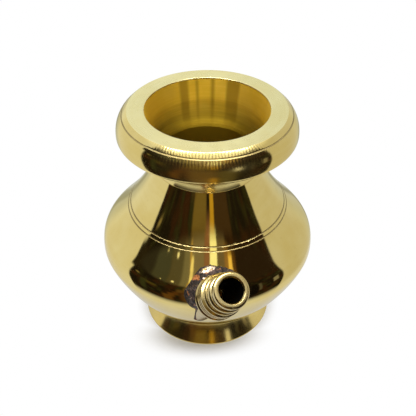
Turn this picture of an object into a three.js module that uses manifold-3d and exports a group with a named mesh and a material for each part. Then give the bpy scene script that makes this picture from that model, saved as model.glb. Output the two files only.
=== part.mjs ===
// A small brass pouring pot: a thick turned mouth ring with a cup-shaped mouth, a narrow neck,
// a round belly, a flared foot and a short turned spout that is brazed on above the widest line.
// Millimetres, +Z up. The pot stands on Z = 0, with the middle of its bounding box over the origin.
import * as THREE from 'three';
import { mergeVertices } from 'three/addons/utils/BufferGeometryUtils.js';
import Module from 'manifold-3d';

const wasm = await Module();
wasm.setup();

// Heights of the stack, from the table up
const FOOT_HEIGHT = 10.7; // table to the seat under the bowl
const BOWL_HEIGHT = 25.1; // foot seat to the widest line
const SHOULDER_HEIGHT = 32.6; // widest line to the neck
const MOUTH_HEIGHT = 21.6; // neck to the flat top of the rim

// Body
const BELLY_RADIUS = 38.9;
const NECK_RADIUS = 18.3;
const SHELL_WALL = 2.6;
const FLOOR_THICKNESS = 3.0;
const BELLY_SEAM_HEIGHT = 11.3; // seam above the foot seat
const SHOULDER_SWEEP_OUT = 0.689; // curve handles, as shares of the curve's own width or height
const SHOULDER_SWEEP_DOWN = 0.812;
const SHOULDER_ROUNDNESS = 0.312;
const BOWL_ROUNDNESS = 0.136;
const BOWL_FLATNESS = 0.407;

// Two lines cut round the shoulder, by their height above the widest line
const LINE_HEIGHTS = [17.4, 16.2];
const LINE_WIDTH = 0.5;
const LINE_DEPTH = 0.25;

// Mouth ring
const MOUTH_RADIUS = 20.9;
const MOUTH_TAPER = 1.4; // how much narrower the mouth is where its fillet starts
const MOUTH_DEPTH = 16.0; // rim top to the throat edge
const MOUTH_FILLET_HEIGHT = 8.5;
const MOUTH_EDGE = 0.4;
const THROAT_RADIUS = 15.6;
const THROAT_EDGE = 0.8;
const RIM_TOP_RADIUS = 27.0;
const RIM_GROOVE_RADIUS = 28.4;
const RIM_GROOVE_DROP = 1.55;
const RIM_GROOVE_WIDTH = 0.6;
const RIM_GROOVE_DEPTH = 0.35;
const RIM_RADIUS = 30.7;
const RIM_BULGE_DROP = 7.9; // rim top to the widest part of the band
const RIM_THICKNESS = 9.5; // rim top to the lower edge of the band
const RIM_EDGE_SET_BACK = 1.4;
const COVE_STEEPNESS = 0.6; // curve handles of the hollow under the rim
const COVE_FLATNESS = 0.62;

// Foot
const FOOT_TOP_RADIUS = 21.1;
const FOOT_BASE_RADIUS = 24.7;
const FOOT_EDGE_HEIGHT = 1.2;
const FOOT_WALL = 2.6;
const FOOT_LAND = 3.2; // width of the flat ring that it stands on
const FOOT_FLARE = 0.5;

// Brazed lap joints
const FIT_CLEARANCE = 0.3;
const SPIGOT_WALL = 1.3;
const SPIGOT_LENGTH = 2.4;
const SEAM_LIP_INSET = 2.2; // lip's outer side behind the body's outline at the seam
const SEAM_LIP_WALL = 1.3;
const SEAM_LIP_HEIGHT = 1.8;
const FOOT_BOSS_HEIGHT = 1.5;
const FILLER_SIZE = 1.7;

// Spout, by distances along its own axis from the belly wall
const SPOUT_BASE_RISE = 3.5; // base above the widest line
const SPOUT_RISE = THREE.MathUtils.degToRad(52); // above level
const SPOUT_SWING = THREE.MathUtils.degToRad(25); // to the right of straight out
const SPOUT_LENGTH = 20.8;
const SPOUT_BORE_RADIUS = 3.95;
const SPOUT_SHANK_RADIUS = 5.0;
const SPOUT_ROOT_LENGTH = 15; // stock below the base, cut away where it meets the belly
const SPOUT_HOLE_RADIUS = 3.5; // hole through the belly wall
const SPOUT_HOLE_DROP = 0.8; // hole centre below the base
const FLANGE_START = 5.5;
const FLANGE_WIDTH = 0.8;
const FLANGE_RADIUS = 7.4;
const COLLAR_START = 7.2;
const COLLAR_END = 11.3;
const COLLAR_RADIUS = 7.1;
const COLLAR_LINES = [8.7, 10.0];
const COLLAR_LINE_WIDTH = 0.6;
const COLLAR_LINE_DEPTH = 0.3;
const RING_VALLEY_DEPTH = 0.9;
const LOWER_RING = { at: 12.9, half: 1.0, radius: 6.65 };
const UPPER_RING = { at: 16.1, half: 1.25, radius: 6.35 };
const LIP_RADIUS = 5.85;
const LIP_WIDTH = 2.6;
const LIP_ROUND = 0.8;

// Filler round the spout
const BRAZE_TOE_FAR = 11.0; // reach from the spout's axis on the upper side
const BRAZE_TOE_NEAR = 6.2; // reach on the lower side
const BRAZE_HEEL = 1.7; // thickness against the shank at its top
const BRAZE_LOW_HEIGHT = 3.0; // height up the shank on the lower side
const BRAZE_LUMP = 0.35;

// Facets
const TURNED_FACETS = 56;
const SPOUT_FACETS = 32;
const BRAZE_FACETS = 40;
const RING_STEPS = 4;

// Datums that follow from the sizes above
const WIDEST_Z = FOOT_HEIGHT + BOWL_HEIGHT;
const NECK_Z = WIDEST_Z + SHOULDER_HEIGHT;
const TOP_Z = NECK_Z + MOUTH_HEIGHT;
const SEAM_Z = FOOT_HEIGHT + BELLY_SEAM_HEIGHT;
const SPIGOT_RADIUS = THROAT_RADIUS + SPIGOT_WALL;

const at = (radius, height) => new THREE.Vector2(radius, height);

// The outline of the body, from the neck down to the widest line and on to the foot seat
const shoulderCurve = new THREE.CubicBezierCurve(
  at(NECK_RADIUS, NECK_Z),
  at(
    NECK_RADIUS + SHOULDER_SWEEP_OUT * (BELLY_RADIUS - NECK_RADIUS),
    NECK_Z - SHOULDER_SWEEP_DOWN * SHOULDER_HEIGHT,
  ),
  at(BELLY_RADIUS, WIDEST_Z + SHOULDER_ROUNDNESS * SHOULDER_HEIGHT),
  at(BELLY_RADIUS, WIDEST_Z),
);
const bowlCurve = new THREE.CubicBezierCurve(
  at(BELLY_RADIUS, WIDEST_Z),
  at(BELLY_RADIUS, WIDEST_Z - BOWL_ROUNDNESS * BOWL_HEIGHT),
  at(FOOT_TOP_RADIUS + BOWL_FLATNESS * (BELLY_RADIUS - FOOT_TOP_RADIUS), FOOT_HEIGHT),
  at(FOOT_TOP_RADIUS, FOOT_HEIGHT),
);

// A point beside a curve that runs downwards: a positive distance lies towards the inside
function beside(curve, t, distance) {
  const tangent = curve.getTangent(t);
  return curve.getPoint(t).add(at(tangent.y, -tangent.x).multiplyScalar(distance));
}

function sample(curve, steps, from = 0, to = 1, distance = 0) {
  return Array.from({ length: steps + 1 }, (_, i) => beside(curve, from + ((to - from) * i) / steps, distance));
}

// Where a value that changes its sign once between low and high is nought
function solve(value, low, high) {
  const rising = value(high) > value(low);
  for (let i = 0; i < 40; i += 1) {
    const middle = (low + high) / 2;
    if (value(middle) > 0 === rising) high = middle;
    else low = middle;
  }
  return (low + high) / 2;
}

const whereHeight = (curve, z) => solve((t) => curve.getPoint(t).y - z, 0, 1);
const whereRadius = (curve, r, distance) => solve((t) => beside(curve, t, distance).x - r, 0, 1);

const seamAt = whereHeight(bowlCurve, SEAM_Z);
const seamLipRadius = bowlCurve.getPoint(seamAt).x - SEAM_LIP_INSET;

// Drops the triangles that shrink to a line where an outline touches its axis
function closed(geometry) {
  geometry.deleteAttribute('normal');
  geometry.deleteAttribute('uv');
  const merged = mergeVertices(geometry);
  const corners = merged.index.array;
  const kept = [];
  for (let i = 0; i < corners.length; i += 3) {
    const [a, b, c] = corners.slice(i, i + 3);
    if (a !== b && b !== c && c !== a) kept.push(a, b, c);
  }
  merged.setIndex(kept);
  return merged;
}

// Turns a closed outline about the Z axis. The outline runs up its outer side.
function turned(outline, facets = TURNED_FACETS) {
  const geometry = new THREE.LatheGeometry(outline, facets);
  geometry.rotateX(Math.PI / 2);
  return closed(geometry);
}

const ring = (outline) => turned([...outline, outline[0].clone()]);

function solidOf(geometry) {
  return new wasm.Manifold(
    new wasm.Mesh({
      numProp: 3,
      vertProperties: new Float32Array(geometry.attributes.position.array),
      triVerts: new Uint32Array(geometry.index.array),
    }),
  );
}

function geometryOf(solid) {
  const mesh = solid.getMesh();
  const geometry = new THREE.BufferGeometry();
  geometry.setAttribute('position', new THREE.BufferAttribute(new Float32Array(mesh.vertProperties), 3));
  geometry.setIndex(Array.from(mesh.triVerts));
  return geometry;
}

function finished(name, geometry, material) {
  const mesh = new THREE.Mesh(geometry, material);
  geometry.computeVertexNormals();
  mesh.name = name;
  return mesh;
}

const brass = (color, roughness) => new THREE.MeshStandardMaterial({ color, roughness, metalness: 1 });
const polished = brass(0xcdbb77, 0.12);
const satin = brass(0xdccb8e, 0.35);
const agedBrass = brass(0xa8925a, 0.3);
const filler = new THREE.MeshStandardMaterial({ color: 0x4b3629, roughness: 0.75, metalness: 0.5 });

// The spout's own frame: base point on the belly wall, its axis, and the directions across it
const spoutBaseZ = WIDEST_Z + SPOUT_BASE_RISE;
const spoutBase = new THREE.Vector3(
  0,
  -shoulderCurve.getPoint(whereHeight(shoulderCurve, spoutBaseZ)).x,
  spoutBaseZ,
);
const spoutAxis = new THREE.Vector3(
  Math.cos(SPOUT_RISE) * Math.sin(SPOUT_SWING),
  -Math.cos(SPOUT_RISE) * Math.cos(SPOUT_SWING),
  Math.sin(SPOUT_RISE),
);
const spoutSide = new THREE.Vector3(0, 0, 1).cross(spoutAxis).normalize();
const spoutUp = spoutAxis.clone().cross(spoutSide);

// The body's filled outside, larger all round by a clearance
function bodyOutline(clearance) {
  return [
    ...sample(shoulderCurve, 12, 0, 1, -clearance),
    ...sample(bowlCurve, 12, 0, 1, -clearance).slice(1),
  ];
}

const bodyCutter = () => {
  const outline = bodyOutline(FIT_CLEARANCE);
  const top = at(0, outline[0].y);
  const bottom = at(0, outline[outline.length - 1].y);
  return solidOf(turned([bottom, ...outline.reverse(), top]));
};

// A small V-shaped line cut into a curve at a height
function cutLine(curve, z, width, depth) {
  const middle = whereHeight(curve, z);
  const reach = width / 2 / curve.getPoint(0).distanceTo(curve.getPoint(1));
  return [
    curve.getPoint(middle + reach),
    beside(curve, middle, depth),
    curve.getPoint(middle - reach),
  ];
}

function bellyShell() {
  const upperLine = whereHeight(shoulderCurve, WIDEST_Z + LINE_HEIGHTS[0]);
  const lowerLine = whereHeight(shoulderCurve, WIDEST_Z + LINE_HEIGHTS[1]);
  const away = LINE_WIDTH / SHOULDER_HEIGHT;
  const collarRadius = SPIGOT_RADIUS + FIT_CLEARANCE;
  const lapRadius = seamLipRadius + FIT_CLEARANCE;
  const shell = ring([
    ...sample(bowlCurve, 5, seamAt, 0),
    ...sample(shoulderCurve, 7, 1, lowerLine + away).slice(1),
    ...LINE_HEIGHTS.toReversed().flatMap((z) => cutLine(shoulderCurve, WIDEST_Z + z, LINE_WIDTH, LINE_DEPTH)),
    ...sample(shoulderCurve, 4, upperLine - away, 0),
    at(collarRadius, NECK_Z),
    ...sample(shoulderCurve, 7, whereRadius(shoulderCurve, collarRadius, SHELL_WALL), 1, SHELL_WALL),
    ...sample(bowlCurve, 4, 0, whereRadius(bowlCurve, lapRadius, SHELL_WALL), SHELL_WALL).slice(1),
    at(lapRadius, SEAM_Z),
  ]);
  const drill = new THREE.CylinderGeometry(SPOUT_HOLE_RADIUS, SPOUT_HOLE_RADIUS, 6 * SHELL_WALL, SPOUT_FACETS);
  drill.translate(0, spoutBase.y, spoutBaseZ - SPOUT_HOLE_DROP);
  const drilled = solidOf(shell).subtract(solidOf(closed(drill)));
  return finished('belly_shell', geometryOf(drilled), polished);
}

function bowlBase() {
  const lipInside = seamLipRadius - SEAM_LIP_WALL;
  const bossRadius = FOOT_TOP_RADIUS - FOOT_WALL - FIT_CLEARANCE;
  const geometry = turned([
    at(0, FOOT_HEIGHT - FOOT_BOSS_HEIGHT),
    at(bossRadius, FOOT_HEIGHT - FOOT_BOSS_HEIGHT),
    at(bossRadius, FOOT_HEIGHT),
    ...sample(bowlCurve, 6, 1, seamAt),
    at(seamLipRadius, SEAM_Z),
    at(seamLipRadius, SEAM_Z + SEAM_LIP_HEIGHT),
    at(lipInside, SEAM_Z + SEAM_LIP_HEIGHT),
    ...sample(bowlCurve, 5, whereRadius(bowlCurve, lipInside, FLOOR_THICKNESS), 1, FLOOR_THICKNESS),
    at(0, FOOT_HEIGHT + FLOOR_THICKNESS),
  ]);
  return finished('bowl_base', geometry, polished);
}

// A curve that leaves its upper end straight down and spreads out towards its lower end
function flare(topRadius, topZ, baseRadius, baseZ) {
  return new THREE.CubicBezierCurve(
    at(topRadius, topZ),
    at(topRadius, topZ - FOOT_FLARE * (topZ - baseZ)),
    at(baseRadius - FOOT_FLARE * (baseRadius - topRadius), baseZ + (1 - FOOT_FLARE) * 0.5 * (topZ - baseZ)),
    at(baseRadius, baseZ),
  );
}

function footRing() {
  const outside = flare(FOOT_TOP_RADIUS, FOOT_HEIGHT, FOOT_BASE_RADIUS, FOOT_EDGE_HEIGHT);
  const inside = flare(FOOT_TOP_RADIUS - FOOT_WALL, FOOT_HEIGHT, FOOT_BASE_RADIUS - FOOT_LAND, 0);
  const geometry = ring([
    at(FOOT_BASE_RADIUS, 0),
    ...sample(outside, 6, 1, 0),
    ...sample(inside, 5),
  ]);
  return finished('foot_ring', geometry, polished);
}

function mouthRim() {
  const edgeZ = TOP_Z - RIM_THICKNESS;
  const edgeRadius = RIM_RADIUS - RIM_EDGE_SET_BACK;
  const bulgeZ = TOP_Z - RIM_BULGE_DROP;
  const grooveZ = TOP_Z - RIM_GROOVE_DROP;
  const grooveHalf = RIM_GROOVE_WIDTH / 2;
  const throatZ = TOP_Z - MOUTH_DEPTH;
  const filletRadius = MOUTH_RADIUS - MOUTH_TAPER;
  const cove = new THREE.CubicBezierCurve(
    at(NECK_RADIUS, NECK_Z),
    at(NECK_RADIUS, NECK_Z + COVE_STEEPNESS * (edgeZ - NECK_Z)),
    at(edgeRadius - COVE_FLATNESS * (edgeRadius - NECK_RADIUS), edgeZ),
    at(edgeRadius, edgeZ),
  );
  const edge = new THREE.QuadraticBezierCurve(at(edgeRadius, edgeZ), at(RIM_RADIUS, edgeZ), at(RIM_RADIUS, bulgeZ));
  const band = new THREE.QuadraticBezierCurve(
    at(RIM_RADIUS, bulgeZ),
    at(RIM_RADIUS, (bulgeZ + 2 * grooveZ) / 3),
    at(RIM_GROOVE_RADIUS + grooveHalf, grooveZ - grooveHalf),
  );
  const fillet = new THREE.QuadraticBezierCurve(
    at(filletRadius, throatZ + MOUTH_FILLET_HEIGHT),
    at(filletRadius, throatZ + THROAT_EDGE / 2),
    at(THROAT_RADIUS + THROAT_EDGE, throatZ),
  );
  const geometry = ring([
    ...sample(cove, 5),
    ...sample(edge, 3).slice(1),
    ...sample(band, 5).slice(1),
    at(RIM_GROOVE_RADIUS - RIM_GROOVE_DEPTH, grooveZ),
    at(RIM_GROOVE_RADIUS - grooveHalf, grooveZ + grooveHalf),
    at(RIM_TOP_RADIUS, TOP_Z),
    at(MOUTH_RADIUS + MOUTH_EDGE, TOP_Z),
    at(MOUTH_RADIUS, TOP_Z - MOUTH_EDGE),
    ...sample(fillet, 5),
    at(THROAT_RADIUS, throatZ - THROAT_EDGE),
    at(THROAT_RADIUS, NECK_Z - SPIGOT_LENGTH),
    at(SPIGOT_RADIUS, NECK_Z - SPIGOT_LENGTH),
    at(SPIGOT_RADIUS, NECK_Z),
  ]);
  return finished('mouth_rim', geometry, satin);
}

// Half-round ridge between two valleys, as points up the spout's outline
function ridge({ at: middle, half, radius }) {
  const valley = radius - RING_VALLEY_DEPTH;
  return Array.from({ length: RING_STEPS + 1 }, (_, i) => {
    const turn = (Math.PI * i) / RING_STEPS;
    return at(valley + RING_VALLEY_DEPTH * Math.sin(turn), middle - half * Math.cos(turn));
  });
}

function spoutOutline() {
  const lines = COLLAR_LINES.flatMap((z) => [
    at(COLLAR_RADIUS, z - COLLAR_LINE_WIDTH / 2),
    at(COLLAR_RADIUS - COLLAR_LINE_DEPTH, z),
    at(COLLAR_RADIUS, z + COLLAR_LINE_WIDTH / 2),
  ]);
  const front = new THREE.QuadraticBezierCurve(
    at(LIP_RADIUS, SPOUT_LENGTH - LIP_ROUND),
    at(LIP_RADIUS, SPOUT_LENGTH),
    at(LIP_RADIUS - LIP_ROUND, SPOUT_LENGTH),
  );
  return [
    at(SPOUT_BORE_RADIUS, -SPOUT_ROOT_LENGTH),
    at(SPOUT_SHANK_RADIUS, -SPOUT_ROOT_LENGTH),
    at(SPOUT_SHANK_RADIUS, FLANGE_START),
    at(FLANGE_RADIUS, FLANGE_START),
    at(FLANGE_RADIUS, FLANGE_START + FLANGE_WIDTH),
    at(COLLAR_RADIUS - COLLAR_LINE_DEPTH, COLLAR_START - COLLAR_LINE_WIDTH / 2),
    at(COLLAR_RADIUS, COLLAR_START),
    ...lines,
    at(COLLAR_RADIUS, COLLAR_END),
    ...ridge(LOWER_RING),
    ...ridge(UPPER_RING),
    at(LIP_RADIUS - LIP_ROUND, SPOUT_LENGTH - LIP_WIDTH),
    at(LIP_RADIUS, SPOUT_LENGTH - LIP_WIDTH + LIP_ROUND),
    ...sample(front, 3),
    at(SPOUT_BORE_RADIUS + LIP_ROUND / 2, SPOUT_LENGTH),
    at(SPOUT_BORE_RADIUS, SPOUT_LENGTH - LIP_ROUND / 2),
    at(SPOUT_BORE_RADIUS, -SPOUT_ROOT_LENGTH),
  ];
}

function spoutNozzle() {
  const geometry = turned(spoutOutline(), SPOUT_FACETS);
  geometry.applyMatrix4(new THREE.Matrix4().makeBasis(spoutSide, spoutUp, spoutAxis).setPosition(spoutBase));
  return finished('spout_nozzle', geometryOf(solidOf(geometry).subtract(bodyCutter())), agedBrass);
}

// Distance along the spout's axis at which a line beside it meets the belly, with the clearance
function wallDistance(reach, angle) {
  const across = spoutUp.clone().multiplyScalar(Math.cos(angle)).addScaledVector(spoutSide, Math.sin(angle));
  const outline = bodyOutline(FIT_CLEARANCE);
  const outside = (along) => {
    const spot = spoutBase.clone().addScaledVector(spoutAxis, along).addScaledVector(across, reach);
    const below = outline.findIndex((p) => p.y <= spot.z);
    const [upper, lower] = [outline[below - 1], outline[below]];
    const wall = THREE.MathUtils.mapLinear(spot.z, lower.y, upper.y, lower.x, upper.x);
    return Math.hypot(spot.x, spot.y) - wall;
  };
  return solve(outside, -SPOUT_ROOT_LENGTH, FLANGE_START);
}

// Rough filler that climbs from the belly to the back of the flange, thick above and thin below
function brazeSection(angle) {
  const upper = THREE.MathUtils.smoothstep((1 + Math.cos(angle)) / 2, 0.4, 0.95);
  const lump = BRAZE_LUMP * (Math.sin(5 * angle + 1) + 0.6 * Math.sin(8 * angle + 2)) * (0.3 + 0.7 * upper);
  const inner = SPOUT_SHANK_RADIUS + FIT_CLEARANCE;
  const toe = THREE.MathUtils.lerp(BRAZE_TOE_NEAR, BRAZE_TOE_FAR, upper) + lump;
  const foot = wallDistance(inner, angle);
  const under = FLANGE_START - FIT_CLEARANCE;
  const top = Math.min(under, THREE.MathUtils.lerp(foot + BRAZE_LOW_HEIGHT, under, upper));
  const heel = inner + BRAZE_HEEL * (0.35 + 0.65 * upper);
  const middle = (heel + toe) / 2;
  const toeAlong = wallDistance(toe, angle);
  return [
    [inner, foot],
    [toe, toeAlong],
    [middle + lump / 2, (top + toeAlong) / 2 + BRAZE_LUMP],
    [heel, top],
    [inner, top],
  ];
}

function spoutBraze() {
  const positions = [];
  const faces = [];
  const corners = brazeSection(0).length;
  for (let i = 0; i < BRAZE_FACETS; i += 1) {
    const angle = (2 * Math.PI * i) / BRAZE_FACETS;
    for (const [reach, along] of brazeSection(angle)) {
      const spot = spoutBase.clone().addScaledVector(spoutAxis, along);
      spot.addScaledVector(spoutUp, reach * Math.cos(angle));
      spot.addScaledVector(spoutSide, reach * Math.sin(angle));
      positions.push(spot.x, spot.y, spot.z);
    }
    for (let j = 0; j < corners; j += 1) {
      const here = i * corners + j;
      const beyond = i * corners + ((j + 1) % corners);
      const next = ((i + 1) % BRAZE_FACETS) * corners;
      faces.push(here, beyond, next + j, beyond, next + ((j + 1) % corners), next + j);
    }
  }
  const geometry = new THREE.BufferGeometry();
  geometry.setAttribute('position', new THREE.Float32BufferAttribute(positions, 3));
  geometry.setIndex(faces);
  return finished('spout_braze', geometry, filler);
}

// Run of filler in an inner corner, three-sided in section. A negative height hangs below the corner.
function fillerRing(name, innerRadius, outerRadius, cornerZ, height) {
  const corner = at(outerRadius, cornerZ);
  const tip = at(outerRadius, cornerZ + height);
  const lowToHigh = height > 0 ? [corner, tip] : [tip, corner];
  return finished(name, ring([at(innerRadius, cornerZ), ...lowToHigh]), filler);
}

function neckBraze() {
  const z = NECK_Z - SPIGOT_LENGTH - FIT_CLEARANCE;
  return fillerRing('neck_braze', SPIGOT_RADIUS - FILLER_SIZE / 2, SPIGOT_RADIUS, z, -FILLER_SIZE);
}

function bellyBraze() {
  const z = SEAM_Z + SEAM_LIP_HEIGHT + FIT_CLEARANCE;
  return fillerRing('belly_braze', seamLipRadius - FILLER_SIZE, seamLipRadius, z, FILLER_SIZE / 2);
}

function footBraze() {
  const outer = FOOT_TOP_RADIUS - FOOT_WALL - FIT_CLEARANCE;
  const z = FOOT_HEIGHT - FOOT_BOSS_HEIGHT - FIT_CLEARANCE;
  return fillerRing('foot_braze', outer - FILLER_SIZE, outer, z, -FILLER_SIZE);
}

const pot = new THREE.Group();
pot.add(mouthRim(), bellyShell(), bowlBase(), footRing());
pot.add(spoutNozzle(), spoutBraze(), neckBraze(), bellyBraze(), footBraze());

// The origin lies under the middle of the bounding box
const extent = new THREE.Box3().setFromObject(pot, true);
const middle = extent.getCenter(new THREE.Vector3());
pot.position.set(-middle.x, -middle.y, -extent.min.z);

export default pot;
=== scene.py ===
"""Looks of a small brass pouring pot with a thick turned mouth ring and a short ringed spout.

The pot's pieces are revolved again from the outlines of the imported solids, with fine curves,
eased edges and cut lines. They are dressed in polished, satin, aged and brazed brass.
"""

import logging
import math
from collections.abc import Callable, Iterable, Sequence
from dataclasses import dataclass, field
from enum import Enum
from functools import cached_property, partial, reduce

import bpy
import numpy as np
from mathutils import Matrix, Vector, noise


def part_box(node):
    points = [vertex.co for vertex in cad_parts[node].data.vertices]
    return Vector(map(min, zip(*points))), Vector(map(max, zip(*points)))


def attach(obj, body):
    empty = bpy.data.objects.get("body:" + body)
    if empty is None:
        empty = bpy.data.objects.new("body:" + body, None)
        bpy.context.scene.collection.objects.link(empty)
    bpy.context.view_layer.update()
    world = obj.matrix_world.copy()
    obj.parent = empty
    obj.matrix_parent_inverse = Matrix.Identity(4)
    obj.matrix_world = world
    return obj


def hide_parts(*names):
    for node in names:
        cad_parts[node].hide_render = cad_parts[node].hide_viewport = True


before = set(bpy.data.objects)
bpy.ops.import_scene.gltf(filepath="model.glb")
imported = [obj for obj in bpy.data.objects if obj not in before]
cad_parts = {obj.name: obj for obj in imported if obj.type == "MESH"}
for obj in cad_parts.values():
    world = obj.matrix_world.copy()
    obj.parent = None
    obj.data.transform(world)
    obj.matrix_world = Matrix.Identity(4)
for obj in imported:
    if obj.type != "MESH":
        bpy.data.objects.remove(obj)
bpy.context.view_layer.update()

LOG = logging.getLogger("pouring_pot")
MM = 0.001
FULL_TURN = 2 * math.pi
SHARP = math.radians(38)  # an edge that turns more than this looks sharp
SAME_SPOT = 1e-7  # millimetres between points that count as one
ON_AXIS = 1e-6  # millimetres from the axis within which a ring closes to a point
EDGE_SHARE = 0.45  # how much of an edge the rounding at one of its ends may take
SEARCH_STEPS = 2000  # steps along a curve when a place on it is looked for

Array = np.ndarray
Point = tuple[float, float]
Spot = tuple[float, float, float]
Colour = tuple[float, float, float]
Socket = bpy.types.NodeSocket
Feed = Socket | float | Colour | Vector

BLACK = (0.0, 0.0, 0.0)
WHITE = (1.0, 1.0, 1.0)


class Side(Enum):
    """Which part of a piece's surface a stretch of its outline makes."""

    SHOW = 0
    FACE = 1
    INNER = 2
    LINE = 3


class Rays(Enum):
    """Outputs of the light path that pick out one kind of ray."""

    CAMERA = "Is Camera Ray"
    GLOSSY = "Is Glossy Ray"
    TRANSMISSION = "Is Transmission Ray"


@dataclass(frozen=True)
class Bezier:
    """A Bezier curve in the outline plane, where x is a radius and y a height."""

    controls: tuple[Point, ...]

    def at(self, share: Array) -> Array:
        """Points at the given shares of the curve, one row each."""
        return self._reduce([np.tile(c, (len(share), 1)) for c in self.controls], share)

    def slope(self, share: Array) -> Array:
        """Finds the curve's direction.

        Args:
            share: Where along the curve, from 0 to 1.

        Returns:
            One unit tangent for each share.
        """
        steps = np.diff(np.array(self.controls, float), axis=0)
        found = self._reduce([np.tile(c, (len(share), 1)) for c in steps], share)
        return found / np.linalg.norm(found, axis=1)[:, None]

    def beside(self, share: Array, distance: float) -> Array:
        """Points beside a curve that runs downwards, at a distance towards the inside."""
        tangent = self.slope(share)
        return self.at(share) + distance * np.column_stack((tangent[:, 1], -tangent[:, 0]))

    def run(self, steps: int, start: float = 0.0, end: float = 1.0, distance: float = 0.0) -> Array:
        """Evenly spread points from one share of the curve to another."""
        return self.beside(np.linspace(start, end, steps + 1), distance)

    def where(self, column: int, value: float, distance: float = 0.0) -> float:
        """Finds the share at which a coordinate has a value.

        Args:
            column: 0 for the radius, 1 for the height.
            value: The value that the coordinate is to have.
            distance: How far beside the curve the point lies.

        Returns:
            The share of the curve, from 0 to 1.
        """
        shares = np.linspace(0, 1, SEARCH_STEPS + 1)
        gap = self.beside(shares, distance)[:, column] - value
        turn = np.flatnonzero(np.sign(gap[:-1]) != np.sign(gap[1:]))[0]
        part = gap[turn] / (gap[turn] - gap[turn + 1])
        return float(shares[turn] + part * (shares[turn + 1] - shares[turn]))

    @staticmethod
    def _reduce(rows: list[Array], share: Array) -> Array:
        """Blends neighbouring control points until one point is left for each share.

        Args:
            rows: One array for each control point, with a row for each share.
            share: Where along the curve, from 0 to 1.

        Returns:
            One point for each share.
        """
        part = share[:, None]
        while len(rows) > 1:
            rows = [(1 - part) * a + part * b for a, b in zip(rows, rows[1:])]
        return rows[0]


@dataclass
class Outline:
    """A closed outline to revolve, which runs up its outer side, with a side for each edge."""

    points: list[Array] = field(default_factory=list)
    sides: list[Side] = field(default_factory=list)

    def add(self, side: Side, *runs: Iterable[Point] | Array) -> "Outline":
        """Appends points, and leaves out one that lies on the point before it.

        Args:
            side: The side that the points' edges make, the one that reaches them included.
            runs: Points or rows of points, in order.

        Returns:
            The outline itself.
        """
        for run in runs:
            for point in np.asarray(run, float).reshape(-1, 2):
                if self.points and np.linalg.norm(point - self.points[-1]) < SAME_SPOT:
                    continue
                self.points.append(point)
                self.sides.append(side)
        return self

    def eased(
        self, radius: float, least_turn: float = 0.4, most_turn: float = 2.6, steps: int = 4
    ) -> "Outline":
        """Rounds the outline's corners.

        Args:
            radius: Radius of the rounding, which short edges beside a corner limit.
            least_turn: The smallest change of direction, in radians, that counts as a corner.
            most_turn: The change of direction above which the rounding stays as long.
            steps: How many edges a rounding has.

        Returns:
            A new outline.
        """
        made = Outline()
        count = len(self.points)
        for i, corner in enumerate(self.points):
            before = self.points[i - 1] - corner
            after = self.points[(i + 1) % count] - corner
            lengths = np.linalg.norm(before), np.linalg.norm(after)
            inward = float(np.dot(before, after) / (lengths[0] * lengths[1]))
            turn = math.pi - math.acos(max(-1.0, min(1.0, inward)))
            if turn < least_turn or corner[0] < ON_AXIS:
                made.add(self.sides[i], [corner])
                continue
            reach = min(radius * math.tan(min(turn, most_turn) / 2), EDGE_SHARE * min(lengths))
            start = corner + before / lengths[0] * reach
            end = corner + after / lengths[1] * reach
            arc = Bezier((tuple(start), tuple(corner), tuple(end))).run(steps)
            half = steps // 2 + 1
            made.add(self.sides[i], arc[:half])
            made.add(self.sides[(i + 1) % count], arc[half:])
        return made

    def revolved(self, name: str, segments: int) -> bpy.types.Object:
        """Turns the outline about the Z axis.

        Args:
            name: The new object's name.
            segments: How many steps make a full turn.

        Returns:
            A smooth-shaded object, with its material indices set from the outline's sides.
        """
        angles = np.linspace(0, FULL_TURN, segments, endpoint=False)
        around = np.column_stack((np.cos(angles), np.sin(angles)))
        vertices: list[Spot] = []
        rings: list[list[int]] = []
        for radius, height in self.points:
            if radius < ON_AXIS:
                rings.append([len(vertices)] * segments)
                vertices.append((0.0, 0.0, height * MM))
            else:
                rings.append(list(range(len(vertices), len(vertices) + segments)))
                vertices.extend((x * radius * MM, y * radius * MM, height * MM) for x, y in around)
        faces: list[tuple[int, ...]] = []
        slots: list[int] = []
        for i, low in enumerate(rings):
            high = rings[(i + 1) % len(rings)]
            side = self.sides[(i + 1) % len(rings)]
            if low[0] == low[1] and high[0] == high[1]:
                continue
            for j in range(segments):
                k = (j + 1) % segments
                corners = dict.fromkeys((low[j], low[k], high[k], high[j]))
                faces.append(tuple(corners))
                slots.append(side.value)
        return mesh_object(name, vertices, faces, slots)


def mesh_object(
    name: str,
    vertices: Sequence[Spot],
    faces: Sequence[tuple[int, ...]],
    slots: Sequence[int] | None = None,
) -> bpy.types.Object:
    """Makes a smooth-shaded object from plain lists and links it to the scene.

    Args:
        name: Name of the object and its mesh.
        vertices: Corner positions in metres.
        faces: Corner indices of each face, counter-clockwise from outside.
        slots: Material index of each face, or None for index 0 all over.

    Returns:
        The new object.
    """
    mesh = bpy.data.meshes.new(name)
    mesh.from_pydata(vertices, [], faces)
    if slots is not None:
        mesh.polygons.foreach_set("material_index", np.array(slots, np.int32))
    mesh.polygons.foreach_set("use_smooth", np.ones(len(mesh.polygons), bool))
    mesh.update()
    return linked(name, mesh)


def linked(name: str, data: bpy.types.ID) -> bpy.types.Object:
    """Makes an object that shows a mesh, a lamp or a camera, and links it to the scene.

    Args:
        name: The new object's name.
        data: What it shows.

    Returns:
        The new object.
    """
    made = bpy.data.objects.new(name, data)
    bpy.context.scene.collection.objects.link(made)
    return made


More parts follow.
